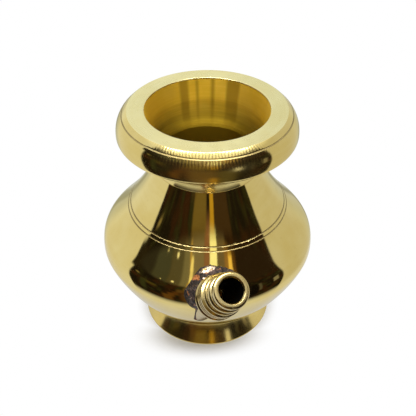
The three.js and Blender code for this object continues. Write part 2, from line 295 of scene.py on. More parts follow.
def cut_away(piece: bpy.types.Object, cutter: bpy.types.Object) -> None:
    """Takes the cutter's space out of a piece for good, and removes the cutter.

    Args:
        piece: The piece to cut, already dressed, which keeps its materials.
        cutter: The closed object whose space is taken out.
    """
    step = piece.modifiers.new("cut", "BOOLEAN")
    step.operation = "DIFFERENCE"
    step.solver = "MANIFOLD"
    step.object = cutter
    bpy.context.view_layer.update()
    reading = bpy.context.evaluated_depsgraph_get()
    finishes = list(piece.data.materials)
    mesh = bpy.data.meshes.new_from_object(piece.evaluated_get(reading))
    for place, finish in enumerate(finishes):
        mesh.materials[place] = finish
    piece.modifiers.remove(step)
    piece.data = mesh
    mesh.set_sharp_from_angle(angle=SHARP)
    bpy.data.objects.remove(cutter)


def smoothstep(low: float, high: float, value: float) -> float:
    """Eases from 0 at low to 1 at high."""
    part = max(0.0, min(1.0, (value - low) / (high - low)))
    return part * part * (3 - 2 * part)


@dataclass(frozen=True)
class Cloud:
    """Cloudy noise: how fine it is, and the two levels between which it may be eased."""

    scale: float
    detail: float = 3.0
    roughness: float = 0.5
    low: float = 0.0
    high: float = 1.0


class Graph:
    """A node tree, with short calls for the nodes that the finishes and the light tent use."""

    def __init__(self, tree: bpy.types.NodeTree) -> None:
        """Empties a node tree to build in it."""
        self.tree = tree
        tree.nodes.clear()

    def add(self, kind: str, **settings: object) -> bpy.types.Node:
        """Adds a node.

        Args:
            kind: The node's type.
            settings: Values for its properties, by their names.

        Returns:
            The new node.
        """
        node = self.tree.nodes.new(kind)
        for key, value in settings.items():
            setattr(node, key, value)
        return node

    def feed(self, socket: Socket, value: Feed) -> None:
        """Links an output into a socket, or sets the socket to a plain value.

        Args:
            socket: The input to feed.
            value: An output of another node, a number, a colour or a vector.
        """
        if isinstance(value, Socket):
            self.tree.links.new(value, socket)
        elif isinstance(value, tuple) and len(value) == 3 and socket.type == "RGBA":
            socket.default_value = (*value, 1.0)
        else:
            socket.default_value = value

    def fed(self, kind: str, *values: Feed, **settings: object) -> Socket:
        """Adds a node and feeds its inputs in order.

        Args:
            kind: The node's type.
            values: What its first inputs get.
            settings: Values for its properties, by their names.

        Returns:
            The node's first output.
        """
        node = self.add(kind, **settings)
        for socket, value in zip(node.inputs, values):
            self.feed(socket, value)
        return node.outputs[0]

    def ended(self, kind: str, surface: Feed) -> None:
        """Adds the tree's output node and feeds its surface."""
        self.feed(self.add(kind).inputs["Surface"], surface)

    def math(self, operation: str, *values: Feed) -> Socket:
        """One step of arithmetic on numbers."""
        return self.fed("ShaderNodeMath", *values, operation=operation)

    def product(self, *values: Feed) -> Socket:
        """Several numbers multiplied together."""
        return reduce(partial(self.math, "MULTIPLY"), values)

    def total(self, *values: Feed) -> Socket:
        """Several numbers added together."""
        return reduce(partial(self.math, "ADD"), values)

    def step(
        self, value: Feed, low: float, high: float, start: float = 0.0, end: float = 1.0
    ) -> Socket:
        """Eases a number from start, where the value is low, to end, where it is high."""
        values = (value, low, high, start, end)
        return self.fed("ShaderNodeMapRange", *values, interpolation_type="SMOOTHSTEP")

    def window(self, value: Feed, low: float, high: float, soft: float) -> Socket:
        """Picks out a stretch of a value.

        Args:
            value: The number to look at.
            low: Where the stretch starts.
            high: Where it ends.
            soft: How wide each of its two edges is.

        Returns:
            1 between the two values and 0 outside them.
        """
        rising = self.step(value, low - soft / 2, low + soft / 2)
        falling = self.step(value, high - soft / 2, high + soft / 2, 1.0, 0.0)
        return self.math("MULTIPLY", rising, falling)

    def blend(self, factor: Feed, low: Feed, high: Feed) -> Socket:
        """Mixes two colours.

        Args:
            factor: 0 for the first colour, 1 for the second.
            low: The first colour.
            high: The second colour.

        Returns:
            The mixed colour.
        """
        node = self.add("ShaderNodeMix", data_type="RGBA", clamp_factor=True)
        self.feed(node.inputs["Factor"], factor)
        colours = [socket for socket in node.inputs if socket.type == "RGBA"]
        self.feed(colours[0], low)
        self.feed(colours[1], high)
        return next(socket for socket in node.outputs if socket.type == "RGBA")

    def joined(self, x: Feed, y: Feed, z: Feed) -> Socket:
        """A vector from three numbers."""
        return self.fed("ShaderNodeCombineXYZ", x, y, z)

    def parted(self, vector: Feed) -> tuple[Socket, Socket, Socket]:
        """The three numbers of a vector.

        Args:
            vector: The vector to take apart.

        Returns:
            Its x, y and z.
        """
        parts = self.add("ShaderNodeSeparateXYZ")
        self.feed(parts.inputs[0], vector)
        return tuple(parts.outputs)

    def noise(self, vector: Feed, cloud: Cloud) -> Socket:
        """Cloudy noise about a half.

        Args:
            vector: The place to read it at.
            cloud: How fine it is.

        Returns:
            The noise.
        """
        node = self.add("ShaderNodeTexNoise")
        self.feed(node.inputs["Vector"], vector)
        for name in ("Scale", "Detail", "Roughness"):
            node.inputs[name].default_value = getattr(cloud, name.lower())
        return node.outputs[0]

    def eased(self, vector: Feed, cloud: Cloud, start: float = 0.0, end: float = 1.0) -> Socket:
        """Cloudy noise, eased from start at the cloud's low level to end at its high one."""
        return self.step(self.noise(vector, cloud), cloud.low, cloud.high, start, end)

    def length(self, x: Feed, y: Feed) -> Socket:
        """Distance from the origin of a point in a plane."""
        return self.math("SQRT", self.total(self.product(x, x), self.product(y, y)))

    def polished_ray(self) -> Socket:
        """1 for rays that a polished or clear surface sends out."""
        rays = self.add("ShaderNodeLightPath").outputs
        return self.math("MAXIMUM", rays[Rays.GLOSSY.value], rays[Rays.TRANSMISSION.value])

    def camera_ray(self) -> Socket:
        """1 for rays that the camera sends out."""
        return self.add("ShaderNodeLightPath").outputs[Rays.CAMERA.value]

    def summed(self, first: Feed, second: Feed) -> Socket:
        """Adds two shaders together."""
        return self.fed("ShaderNodeAddShader", first, second)

    def mixed(self, factor: Feed, first: Feed, second: Feed) -> Socket:
        """Mixes two shaders by a factor."""
        return self.fed("ShaderNodeMixShader", factor, first, second)

    def cells(self, vector: Feed, scale: float) -> Socket:
        """Distance to the nearest of many scattered points.

        Args:
            vector: The place to read it at.
            scale: How dense the points are.

        Returns:
            The distance, as a share of the points' spread.
        """
        node = self.add("ShaderNodeTexVoronoi")
        self.feed(node.inputs["Vector"], vector)
        node.inputs["Scale"].default_value = scale
        return node.outputs["Distance"]

    def bump(self, height: Feed, distance: float, below: Feed | None = None) -> Socket:
        """Bends the surface.

        Args:
            height: A height from 0 to 1.
            distance: The distance in metres that a height of 1 stands for.
            below: A normal that is bent already.

        Returns:
            The bent normal.
        """
        node = self.add("ShaderNodeBump")
        node.inputs["Distance"].default_value = distance
        self.feed(node.inputs["Height"], height)
        if below is not None:
            self.feed(node.inputs["Normal"], below)
        return node.outputs[0]


@dataclass(frozen=True)
class Lathe:
    """Places on a piece that is turned about its own Z axis, as node outputs in millimetres."""

    where: Socket
    x: Socket
    y: Socket
    radius: Socket
    angle: Socket
    height: Socket
    grain: Socket

    @classmethod
    def read(cls, graph: Graph, stretch: float = 0.05) -> "Lathe":
        """Adds the nodes that measure a turned piece in its own coordinates.

        Args:
            graph: The tree to add them to.
            stretch: How much the grain is drawn out round the axis.

        Returns:
            The places.
        """
        spot = graph.add("ShaderNodeTexCoord").outputs["Object"]
        scaled = graph.add("ShaderNodeVectorMath", operation="SCALE")
        graph.feed(scaled.inputs[0], spot)
        scaled.inputs["Scale"].default_value = 1 / MM
        x, y, z = graph.parted(scaled.outputs[0])
        radius = graph.length(x, y)
        angle = graph.math("ARCTAN2", x, graph.math("MULTIPLY", y, -1.0))
        along = graph.total(z, radius)
        grain = graph.joined(graph.product(x, stretch), graph.product(y, stretch), along)
        return cls(scaled.outputs[0], x, y, radius, angle, z, grain)


def new_material(name: str) -> tuple[bpy.types.Material, Graph, Lathe]:
    """Starts a procedural material.

    Args:
        name: The material's name.

    Returns:
        The material, its empty node tree and the places to dress.
    """
    made = bpy.data.materials.new(name)
    made.use_nodes = True
    graph = Graph(made.node_tree)
    return made, graph, Lathe.read(graph)


@dataclass(frozen=True)
class Chatter:
    """The run of uneven notches that a chattering tool leaves round a turned piece."""

    depth: float
    haze: float = 0.0
    # How much the notches are darkened towards the stain colour: painted shade.
    notch_shade: float = 0.0
    count: float = 176.0
    arc: Point = (-0.60, 0.56)
    arc_soft: float = 0.25
    rise: Point = (85.0, 87.6)
    wander: Point = (9.0, 5.0)  # how fast the notches' spacing wanders, and how far
    uneven: Point = (40.0, 0.4)  # how fast the notches' depth changes, and how much
    wave: float = 0.8
    drop: float = -0.1
    shade_heights: Point = (0.15, 0.45)  # heights at which the painted notch shade is full and gone
    cloud: Cloud = Cloud(1.0)

    def height(self, graph: Graph, lathe: Lathe) -> Socket:
        """The notches' surface.

        Args:
            graph: The tree to build in.
            lathe: Places on the piece.

        Returns:
            A height of about 0 to 1.
        """
        slow, push = self.wander
        quick, ragged = self.uneven
        place = graph.joined(graph.product(lathe.angle, slow), 0.0, lathe.height)
        wander = graph.noise(place, self.cloud)
        turn = graph.total(graph.product(lathe.angle, self.count), graph.product(wander, push))
        wave = graph.math("MULTIPLY_ADD", graph.math("SINE", turn), 0.5, 0.5)
        place = graph.joined(graph.product(lathe.angle, quick), 0.0, lathe.height)
        uneven = graph.noise(place, self.cloud)
        return graph.total(
            graph.product(wave, self.wave), graph.product(uneven, ragged), self.drop
        )

    def across(self, graph: Graph, lathe: Lathe) -> Socket:
        """1 at the angles where the tool chattered and 0 at the others."""
        return graph.window(lathe.angle, *self.arc, self.arc_soft)

    def reach(self, graph: Graph, lathe: Lathe) -> Socket:
        """1 where the tool chattered and 0 elsewhere."""
        across = self.across(graph, lathe)
        return graph.product(across, graph.step(lathe.height, *self.rise))

    def notch_shading(self, graph: Graph, lathe: Lathe) -> Socket:
        """How far painted shade darkens the notches, from 0 to 1."""
        notch = graph.step(self.height(graph, lathe), *self.shade_heights, self.notch_shade, 0.0)
        return graph.product(notch, self.reach(graph, lathe))


@dataclass(frozen=True)
class DarkReflectionBands:
    """Painted dark reflections that run down a turned wall as bands, by the angles at which they
    start and end.
    """

    arcs: tuple[Point, ...]
    soft: float = 0.07
    share: float = 0.8


@dataclass(frozen=True)
class DepthShade:
    """Painted shade that deepens down a wall, between two heights and with an uneven edge."""

    colour: Colour
    fall: Point
    cloud: Cloud = Cloud(0.8)
    uneven: Point = (3.0, -1.5)  # how far the noise moves the edge, and where it starts


@dataclass(frozen=True)
class Finish:
    """A metal surface as turned, polished or left: its colours, gloss and marks."""

    name: str
    pale: Colour
    deep: Colour
    stain: Colour
    roughness: float
    roughness_spread: float = 0.05
    stain_share: float = 0.12
    ring_depth: float = 0.0
    ring_pitch: float = 0.5
    dent_depth: float = 0.0
    pit_depth: float = 0.0
    pit_scale: float = 0.35
    pit_size: Point = (0.05, 0.16)
    anisotropy: float = 0.0
    brushed_turn: float = 0.0  # share of a turn, and 0.25 brushes round the axis
    chatter: Chatter | None = None
    dark_reflection_bands: DarkReflectionBands = DarkReflectionBands(())
    depth_shade: DepthShade | None = None
    drift: Cloud = Cloud(0.09, 4.0, low=0.36, high=0.66)
    streaks: Cloud = Cloud(1.6, low=0.35, high=0.7)
    colour_shares: Point = (0.65, 0.35)  # of the drift and the streaks
    specks: Cloud = Cloud(0.55, 6.0, 0.62, 0.58, 0.78)
    smears: Cloud = Cloud(0.14, 5.0, 0.6, 0.38, 0.7)
    haze: Cloud = Cloud(3.5, 4.0, 0.6)
    gloss_shares: Point = (0.6, 0.6)  # of the smears and the haze
    dents: Cloud = Cloud(0.16, 2.0)

    def material(self) -> bpy.types.Material:
        """Builds the finish.

        Returns:
            A procedural material.
        """
        made, graph, lathe = new_material(self.name)
        shader = graph.add("ShaderNodeBsdfPrincipled")
        shader.inputs["Metallic"].default_value = 1.0
        shader.inputs["Anisotropic"].default_value = self.anisotropy
        if self.anisotropy > 0:
            turned = graph.add("ShaderNodeTangent", direction_type="RADIAL", axis="Z")
            graph.feed(shader.inputs["Tangent"], turned.outputs[0])
            shader.inputs["Anisotropic Rotation"].default_value = self.brushed_turn
        graph.feed(shader.inputs["Base Color"], self._colour(graph, lathe))
        graph.feed(shader.inputs["Roughness"], self._gloss(graph, lathe))
        graph.feed(shader.inputs["Normal"], self._relief(graph, lathe))
        graph.ended("ShaderNodeOutputMaterial", shader.outputs[0])
        return made

    def _colour(self, graph: Graph, lathe: Lathe) -> Socket:
        """Brass drifts, streaks round the axis and thin stains, with painted shade and painted dark
        reflections.

        Args:
            graph: The tree to build in.
            lathe: Places on the piece.

        Returns:
            The colour.
        """
        drift = graph.eased(lathe.where, self.drift)
        streak = graph.eased(lathe.grain, self.streaks)
        drift_share, streak_share = self.colour_shares
        share = graph.total(graph.product(drift, drift_share), graph.product(streak, streak_share))
        brass = graph.blend(share, self.deep, self.pale)
        speck = graph.eased(lathe.where, self.specks)
        brass = graph.blend(graph.product(speck, self.stain_share), brass, self.stain)
        # Painted shade darkens the chatter notches.
        if self.chatter and self.chatter.notch_shade:
            brass = graph.blend(self.chatter.notch_shading(graph, lathe), brass, self.stain)
        # Painted dark reflections: bands of the stain colour down the wall.
        for arc in self.dark_reflection_bands.arcs:
            mark = graph.window(lathe.angle, *arc, self.dark_reflection_bands.soft)
            brass = graph.blend(graph.product(mark, self.dark_reflection_bands.share), brass, self.stain)
        # Painted shade: the wall darkens towards its floor.
        if self.depth_shade is None:
            return brass
        edge = graph.noise(lathe.grain, self.depth_shade.cloud)
        edge = graph.math("MULTIPLY_ADD", edge, *self.depth_shade.uneven)
        depth = graph.step(graph.total(lathe.height, edge), *self.depth_shade.fall, 1.0, 0.0)
        return graph.blend(depth, brass, self.depth_shade.colour)

    def _gloss(self, graph: Graph, lathe: Lathe) -> Socket:
        """Roughness with smears and fine turning haze.

        Args:
            graph: The tree to build in.
            lathe: Places on the piece.

        Returns:
            The roughness.
        """
        smear = graph.eased(lathe.where, self.smears)
        haze = graph.noise(lathe.grain, self.haze)
        smear_share, haze_share = self.gloss_shares
        spread = graph.total(graph.product(smear, smear_share), graph.product(haze, haze_share))
        least = self.roughness - self.roughness_spread / 2
        gloss = graph.math("MULTIPLY_ADD", spread, self.roughness_spread, least)
        if not self.chatter or not self.chatter.haze:
            return gloss
        across = self.chatter.across(graph, lathe)
        return graph.math("MULTIPLY_ADD", across, self.chatter.haze, gloss)

    def _relief(self, graph: Graph, lathe: Lathe) -> Socket:
        """Bumps: hand-polishing waves, turning rings, small pits and chatter marks.

        Args:
            graph: The tree to build in.
            lathe: Places on the piece.

        Returns:
            The bent normal.
        """
        normal = graph.bump(graph.noise(lathe.where, self.dents), self.dent_depth)
        if self.ring_depth:
            ridges = graph.noise(lathe.grain, Cloud(1 / self.ring_pitch, roughness=0.7))
            normal = graph.bump(ridges, self.ring_depth, normal)
        if self.pit_depth:
            pits = graph.step(graph.cells(lathe.where, self.pit_scale), *self.pit_size)
            normal = graph.bump(pits, self.pit_depth, normal)
        if self.chatter:
            notches = self.chatter.height(graph, lathe)
            notches = graph.product(notches, self.chatter.reach(graph, lathe))
            normal = graph.bump(notches, self.chatter.depth, normal)
        return normal


@dataclass(frozen=True)
class Patch:
    """A ragged patch beside the spout's axis."""

    spot: Point
    size: Point
    edge: Point = (0.75, 1.15)
    cloud: Cloud = Cloud(0.9, 4.0)
    ragged: Point = (1.4, -0.7)

    def cover(self, graph: Graph, lathe: Lathe) -> Socket:
        """Where the patch lies.

        Args:
            graph: The tree to build in.
            lathe: Places on the piece.

        Returns:
            1 inside the patch and 0 outside it.
        """
        aside = graph.math("DIVIDE", graph.math("SUBTRACT", lathe.x, self.spot[0]), self.size[0])
        up = graph.math("DIVIDE", graph.math("SUBTRACT", lathe.y, self.spot[1]), self.size[1])
        ragged = graph.math("MULTIPLY_ADD", graph.noise(lathe.where, self.cloud), *self.ragged)
        return graph.step(graph.total(graph.length(aside, up), ragged), *self.edge, 1.0, 0.0)


@dataclass(frozen=True)
class FillerFinish:
    """Brazing filler left as it froze: black and brown crust with bare bright beads."""

    name: str
    crust: Colour = (0.022, 0.015, 0.012)
    flux: Colour = (0.095, 0.056, 0.042)
    rust: Colour = (0.36, 0.13, 0.035)
    bare: Colour = (0.82, 0.62, 0.46)
    bead_patch: Patch = Patch((0.9, 9.7), (2.3, 0.9))
    rust_patch: Patch = Patch((-3.2, 8.6), (1.0, 1.0))
    scale: Cloud = Cloud(0.50, 6.0, 0.65, 0.44, 0.64)
    warmth: Cloud = Cloud(0.37, low=0.62, high=0.70)
    beads: Cloud = Cloud(0.45, 2.0, low=0.66, high=0.70)
    grit: Cloud = Cloud(2.2, 6.0, 0.7)
    grit_depth: float = 0.20 * MM
    metal: Point = (0.45, 1.0)  # of the crust and the beads
    roughness: Point = (0.55, 0.30)

    def material(self) -> bpy.types.Material:
        """Builds the filler.

        Returns:
            A procedural material.
        """
        made, graph, lathe = new_material(self.name)
        scale = graph.noise(lathe.where, self.scale)
        flux = graph.step(scale, self.scale.low, self.scale.high)
        brown = graph.blend(flux, self.crust, self.flux)
        warm = graph.eased(lathe.where, self.warmth)
        warm = graph.math("MAXIMUM", warm, self.rust_patch.cover(graph, lathe))
        brown = graph.blend(warm, brown, self.rust)
        bead = graph.eased(lathe.where, self.beads)
        bead = graph.math("MAXIMUM", bead, self.bead_patch.cover(graph, lathe))
        shader = graph.add("ShaderNodeBsdfPrincipled")
        graph.feed(shader.inputs["Base Color"], graph.blend(bead, brown, self.bare))
        graph.feed(shader.inputs["Metallic"], graph.step(bead, 0.0, 1.0, *self.metal))
        graph.feed(shader.inputs["Roughness"], graph.step(bead, 0.0, 1.0, *self.roughness))
        grit = graph.noise(lathe.where, self.grit)
        graph.feed(shader.inputs["Normal"], graph.bump(grit, self.grit_depth))
        graph.ended("ShaderNodeOutputMaterial", shader.outputs[0])
        return made


POLISHED = Finish(
    "polished_brass_outside",
    pale=(0.90, 0.745, 0.31),
    deep=(0.84, 0.665, 0.235),
    stain=(0.46, 0.33, 0.12),
    roughness=0.055,
    roughness_spread=0.05,
    ring_depth=0.0022 * MM,
    ring_pitch=0.7,
    dent_depth=0.018 * MM,
)
BAND = Finish(
    "polished_brass_band",
    pale=(0.90, 0.745, 0.31),
    deep=(0.84, 0.665, 0.235),
    stain=(0.46, 0.33, 0.12),
    roughness=0.09,
    roughness_spread=0.06,
    ring_depth=0.003 * MM,
    ring_pitch=0.5,
    dent_depth=0.016 * MM,
    # The band's chatter notches carry painted shade.
    chatter=Chatter(depth=0.022 * MM, haze=0.11, notch_shade=0.75),
)
WORN = Finish(
    "polished_brass_foot",
    pale=(0.88, 0.70, 0.26),
    deep=(0.80, 0.60, 0.19),
    stain=(0.42, 0.28, 0.09),
    roughness=0.15,
    roughness_spread=0.08,
    ring_depth=0.004 * MM,
    ring_pitch=0.6,
    dent_depth=0.020 * MM,
)
# Paler brass on the flat top: its own satin tone, and partly a painted washed-out highlight.
SATIN = Finish(
    "satin_brass_face",
    pale=(0.95, 0.86, 0.46),
    deep=(0.90, 0.79, 0.38),
    stain=(0.62, 0.50, 0.22),
    roughness=0.28,
    roughness_spread=0.10,
    ring_depth=0.012 * MM,
    ring_pitch=0.35,
    dent_depth=0.015 * MM,
    anisotropy=0.5,
    brushed_turn=0.25,
)
# The bore's deep orange brass is partly painted light from extra bounces inside the mouth.
BORE = Finish(
    "turned_brass_bore",
    pale=(0.93, 0.645, 0.075),
    deep=(0.84, 0.56, 0.04),
    stain=(0.44, 0.27, 0.02),
    roughness=0.60,
    roughness_spread=0.12,
    ring_depth=0.022 * MM,
    ring_pitch=0.9,
    dent_depth=0.010 * MM,
    anisotropy=0.7,
    brushed_turn=0.25,
    chatter=Chatter(depth=0.012 * MM, arc=(-4.0, 4.0), rise=(76.0, 84.0)),
    # Painted shade darkens the mouth towards its floor.
    depth_shade=DepthShade((0.16, 0.10, 0.006), (72.5, 84.0)),
    # Painted dark reflections in bands on the mouth's back wall.
    dark_reflection_bands=DarkReflectionBands(((-2.84, -2.68), (2.52, 2.76), (2.98, 3.04), (-3.02, -2.98))),
)
# Dark brass in the cut lines and the groove: painted shade.
LINE_SHADE = Finish(
    "cut_line_painted_shade",
    pale=(0.44, 0.35, 0.15),
    deep=(0.28, 0.21, 0.08),
    stain=(0.10, 0.07, 0.03),
    roughness=0.40,
    roughness_spread=0.10,
    stain_share=0.5,
)
CAST = Finish(
    "cast_brass_inside",
    pale=(0.80, 0.58, 0.12),
    deep=(0.66, 0.46, 0.08),
    stain=(0.30, 0.20, 0.05),
    roughness=0.48,
    roughness_spread=0.15,
    stain_share=0.4,
    dent_depth=0.10 * MM,
    pit_depth=0.08 * MM,
)
AGED = Finish(
    "aged_brass_spout",
    pale=(0.74, 0.61, 0.31),
    deep=(0.55, 0.41, 0.15),
    stain=(0.12, 0.07, 0.035),
    roughness=0.20,
    roughness_spread=0.12,
    stain_share=0.6,
    ring_depth=0.010 * MM,
    ring_pitch=0.30,
    dent_depth=0.020 * MM,
    pit_depth=0.02 * MM,
)
# Near-black brass deep in the spout's bore: painted shade.
BORE_SHADE = Finish(
    "painted_shade_spout_bore",
    pale=(0.022, 0.020, 0.016),
    deep=(0.010, 0.009, 0.008),
    stain=(0.005, 0.005, 0.005),
    roughness=0.60,
    roughness_spread=0.10,
    dent_depth=0.05 * MM,
)


def dress(piece: bpy.types.Object, *finishes: Finish | FillerFinish) -> None:
    """Gives a piece its materials.

    Args:
        piece: The piece to dress.
        finishes: Its finishes, in the order of its material indices.
    """
    for finish in finishes:
        known = bpy.data.materials.get(finish.name)
        piece.data.materials.append(known or finish.material())
    piece.data.set_sharp_from_angle(angle=SHARP)


def seat(piece: bpy.types.Object, node: str, slot: str) -> bpy.types.Object:
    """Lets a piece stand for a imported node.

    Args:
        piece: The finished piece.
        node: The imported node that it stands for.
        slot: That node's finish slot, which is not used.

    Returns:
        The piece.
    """
    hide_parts(node)
    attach(piece, "root")
    LOG.info("%s stands for %s with %d faces", piece.name, node, len(piece.data.polygons))
    return piece


@dataclass(frozen=True)
class Datums:
    """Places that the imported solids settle, in millimetres over the table."""

    axis: Point
    foot_radius: float
    foot_seat: float
    seam: float
    belly_radius: float
    neck: float
    rim_top: float
    rim_radius: float

    @classmethod
    def read(cls) -> "Datums":
        """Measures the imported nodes.

        Returns:
            The places, in millimetres.
        """
        foot_low, foot_high = (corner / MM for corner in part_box("foot_ring"))
        belly_low, belly_high = (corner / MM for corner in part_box("belly_shell"))
        rim_low, rim_high = (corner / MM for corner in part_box("mouth_rim"))
        centre = (foot_low + foot_high) / 2
        return cls(
            axis=(centre.x, centre.y),
            foot_radius=(foot_high.x - foot_low.x) / 2,
            foot_seat=foot_high.z,
            seam=belly_low.z,
            belly_radius=(belly_high.x - belly_low.x) / 2,
            neck=belly_high.z,
            rim_top=rim_high.z,
            rim_radius=(rim_high.x - rim_low.x) / 2,
        )

    def stand(self, piece: bpy.types.Object) -> bpy.types.Object:
        """Puts a piece that was revolved about its own origin on the vessel's axis."""
        piece.location = Vector((self.axis[0], self.axis[1], 0.0)) * MM
        return piece


@dataclass(frozen=True)
class Belly:
    """The round belly: its upper shell with two cut lines, and the bowl that is brazed below it."""

    datums: Datums
    widest: float = 35.8
    neck_radius: float = 18.3
    foot_top_radius: float = 21.1
    wall: float = 2.6
    floor: float = 3.0
    sweep_out: float = 0.689
    sweep_down: float = 0.812
    roundness: float = 0.312
    bowl_roundness: float = 0.136
    bowl_flatness: float = 0.407
    lines: tuple[float, ...] = (17.4, 16.2)
    line_width: float = 0.36
    line_depth: float = 0.13
    collar_radius: float = 17.2
    lip_inset: float = 2.2
    lip_wall: float = 1.3
    lip_height: float = 1.8
    clearance: float = 0.3
    boss_height: float = 1.5
    foot_wall: float = 2.6
    hole_radius: float = 3.5
    hole_rise: float = 2.7
    hole_segments: int = 48
    drill_reach: float = 8.0
    edge_round: float = 0.12
    segments: int = 384

    @property
    def shoulder(self) -> Bezier:
        """The outline from the neck down to the widest line.

        Returns:
            The curve.
        """
        d = self.datums
        out = d.belly_radius - self.neck_radius
        down = d.neck - self.widest
        return Bezier((
            (self.neck_radius, d.neck),
            (self.neck_radius + self.sweep_out * out, d.neck - self.sweep_down * down),
            (d.belly_radius, self.widest + self.roundness * down),
            (d.belly_radius, self.widest),
        ))

    @property
    def bowl(self) -> Bezier:
        """The outline from the widest line down to the foot's seat.

        Returns:
            The curve.
        """
        d = self.datums
        down = self.widest - d.foot_seat
        out = d.belly_radius - self.foot_top_radius
        return Bezier((
            (d.belly_radius, self.widest),
            (d.belly_radius, self.widest - self.bowl_roundness * down),
            (self.foot_top_radius + self.bowl_flatness * out, d.foot_seat),
            (self.foot_top_radius, d.foot_seat),
        ))

    @property
    def lip_radius(self) -> float:
        """Outer radius of the lip that centres the shell on the bowl."""
        seam = self.bowl.where(1, self.datums.seam)
        return float(self.bowl.run(1, seam)[0, 0]) - self.lip_inset

    def _cut_line(self, rise: float) -> Array:
        """The V of one line cut round the shoulder.

        Args:
            rise: The line's height over the widest line.

        Returns:
            Its lower edge, its deepest point and its upper edge.
        """
        curve = self.shoulder
        middle = curve.where(1, self.widest + rise)
        reach = self.line_width / 2 / (self.datums.neck - self.widest)
        edges = curve.at(np.array([middle + reach, middle - reach]))
        deepest = curve.beside(np.array([middle]), self.line_depth)
        return np.vstack((edges[:1], deepest, edges[1:]))

    def _outside(self) -> Outline:
        """The shell's outer side from the seam up to the neck, with its two lines.

        Returns:
            An outline that is still open.
        """
        shoulder, bowl = self.shoulder, self.bowl
        outline = Outline().add(Side.SHOW, bowl.run(30, bowl.where(1, self.datums.seam), 0))
        start = 1.0
        for rise in reversed(self.lines):
            line = self._cut_line(rise)
            low, high = (shoulder.where(1, corner[1]) for corner in (line[0], line[-1]))
            outline.add(Side.SHOW, shoulder.run(max(2, round(80 * (start - low))), start, low))
            outline.add(Side.FACE, line)
            start = high
        return outline.add(Side.SHOW, shoulder.run(60, start, 0))

    def shell(self) -> bpy.types.Object:
        """Makes the upper shell, open at the neck and at the seam, with the spout's hole.

        Returns:
            The dressed piece.
        """
        d = self.datums
        shoulder, bowl = self.shoulder, self.bowl
        lap = self.lip_radius + self.clearance
        outline = self._outside()
        outline.add(
            Side.INNER,
            [(self.collar_radius, d.neck)],
            shoulder.run(40, shoulder.where(0, self.collar_radius, self.wall), 1, self.wall),
            bowl.run(16, 0, bowl.where(0, lap, self.wall), self.wall),
            [(lap, d.seam)],
        )
        smooth = outline.eased(self.edge_round)
        piece = d.stand(smooth.revolved("belly_upper_shell", self.segments))
        dress(piece, POLISHED, LINE_SHADE, CAST)
        cut_away(piece, self._drill())
        return seat(piece, "belly_shell", "polished_brass")

    def _drill(self) -> bpy.types.Object:
        """Makes a drill for the round hole that lets the pot pour into its spout.

        Returns:
            The drill, where the hole is to be.
        """
        rise = self.widest + self.hole_rise
        low, high = rise - self.drill_reach, rise + self.drill_reach
        radius = self.hole_radius
        outline = Outline().add(Side.INNER, [(0, low), (radius, low), (radius, high), (0, high)])
        drill = self.datums.stand(outline.revolved("spout_hole_drill", self.hole_segments))
        drill.location.y -= self.spout_foot(rise) * MM
        return drill

    def spout_foot(self, height: float) -> float:
        """Radius of the belly's outside at a height over the table, above the widest line."""
        return float(self.shoulder.run(1, self.shoulder.where(1, height))[0, 0])

    def base(self) -> bpy.types.Object:
        """Makes the bowl below the seam, with its lip in the shell and its boss in the foot.

        Returns:
            The dressed piece.
        """
        d = self.datums
        bowl = self.bowl
        seam = bowl.where(1, d.seam)
        lip, inside = self.lip_radius, self.lip_radius - self.lip_wall
        boss = self.foot_top_radius - self.foot_wall - self.clearance
        low, high = d.foot_seat - self.boss_height, d.seam + self.lip_height
        outline = Outline()
        outline.add(Side.INNER, [(0, low), (boss, low), (boss, d.foot_seat)])
        outline.add(Side.INNER, [(self.foot_top_radius, d.foot_seat)])
        outline.add(Side.SHOW, bowl.run(40, 1, seam))
        outline.add(
            Side.INNER,
            [(lip, d.seam), (lip, high), (inside, high)],
            bowl.run(24, bowl.where(0, inside, self.floor), 1, self.floor),
            [(0, d.foot_seat + self.floor)],
        )
        smooth = outline.eased(self.edge_round)
        piece = d.stand(smooth.revolved("bowl_under_seam", self.segments))
        dress(piece, POLISHED, POLISHED, CAST)
        return seat(piece, "bowl_base", "polished_brass")

    def body_cutter(self, clearance: float) -> bpy.types.Object:
        """Makes a cutter of the body's filled outside.

        Args:
            clearance: How much larger than the body it is all round.

        Returns:
            The cutter, where the body stands.
        """
        upper = self.shoulder.run(64, 0, 1, -clearance)
        lower = self.bowl.run(48, 0, 1, -clearance)
        floor, roof = [(0, lower[-1, 1])], [(0, upper[0, 1])]
        outline = Outline().add(Side.INNER, floor, lower[::-1], upper[::-1], roof)
        return self.datums.stand(outline.revolved("body_cutter", self.segments))


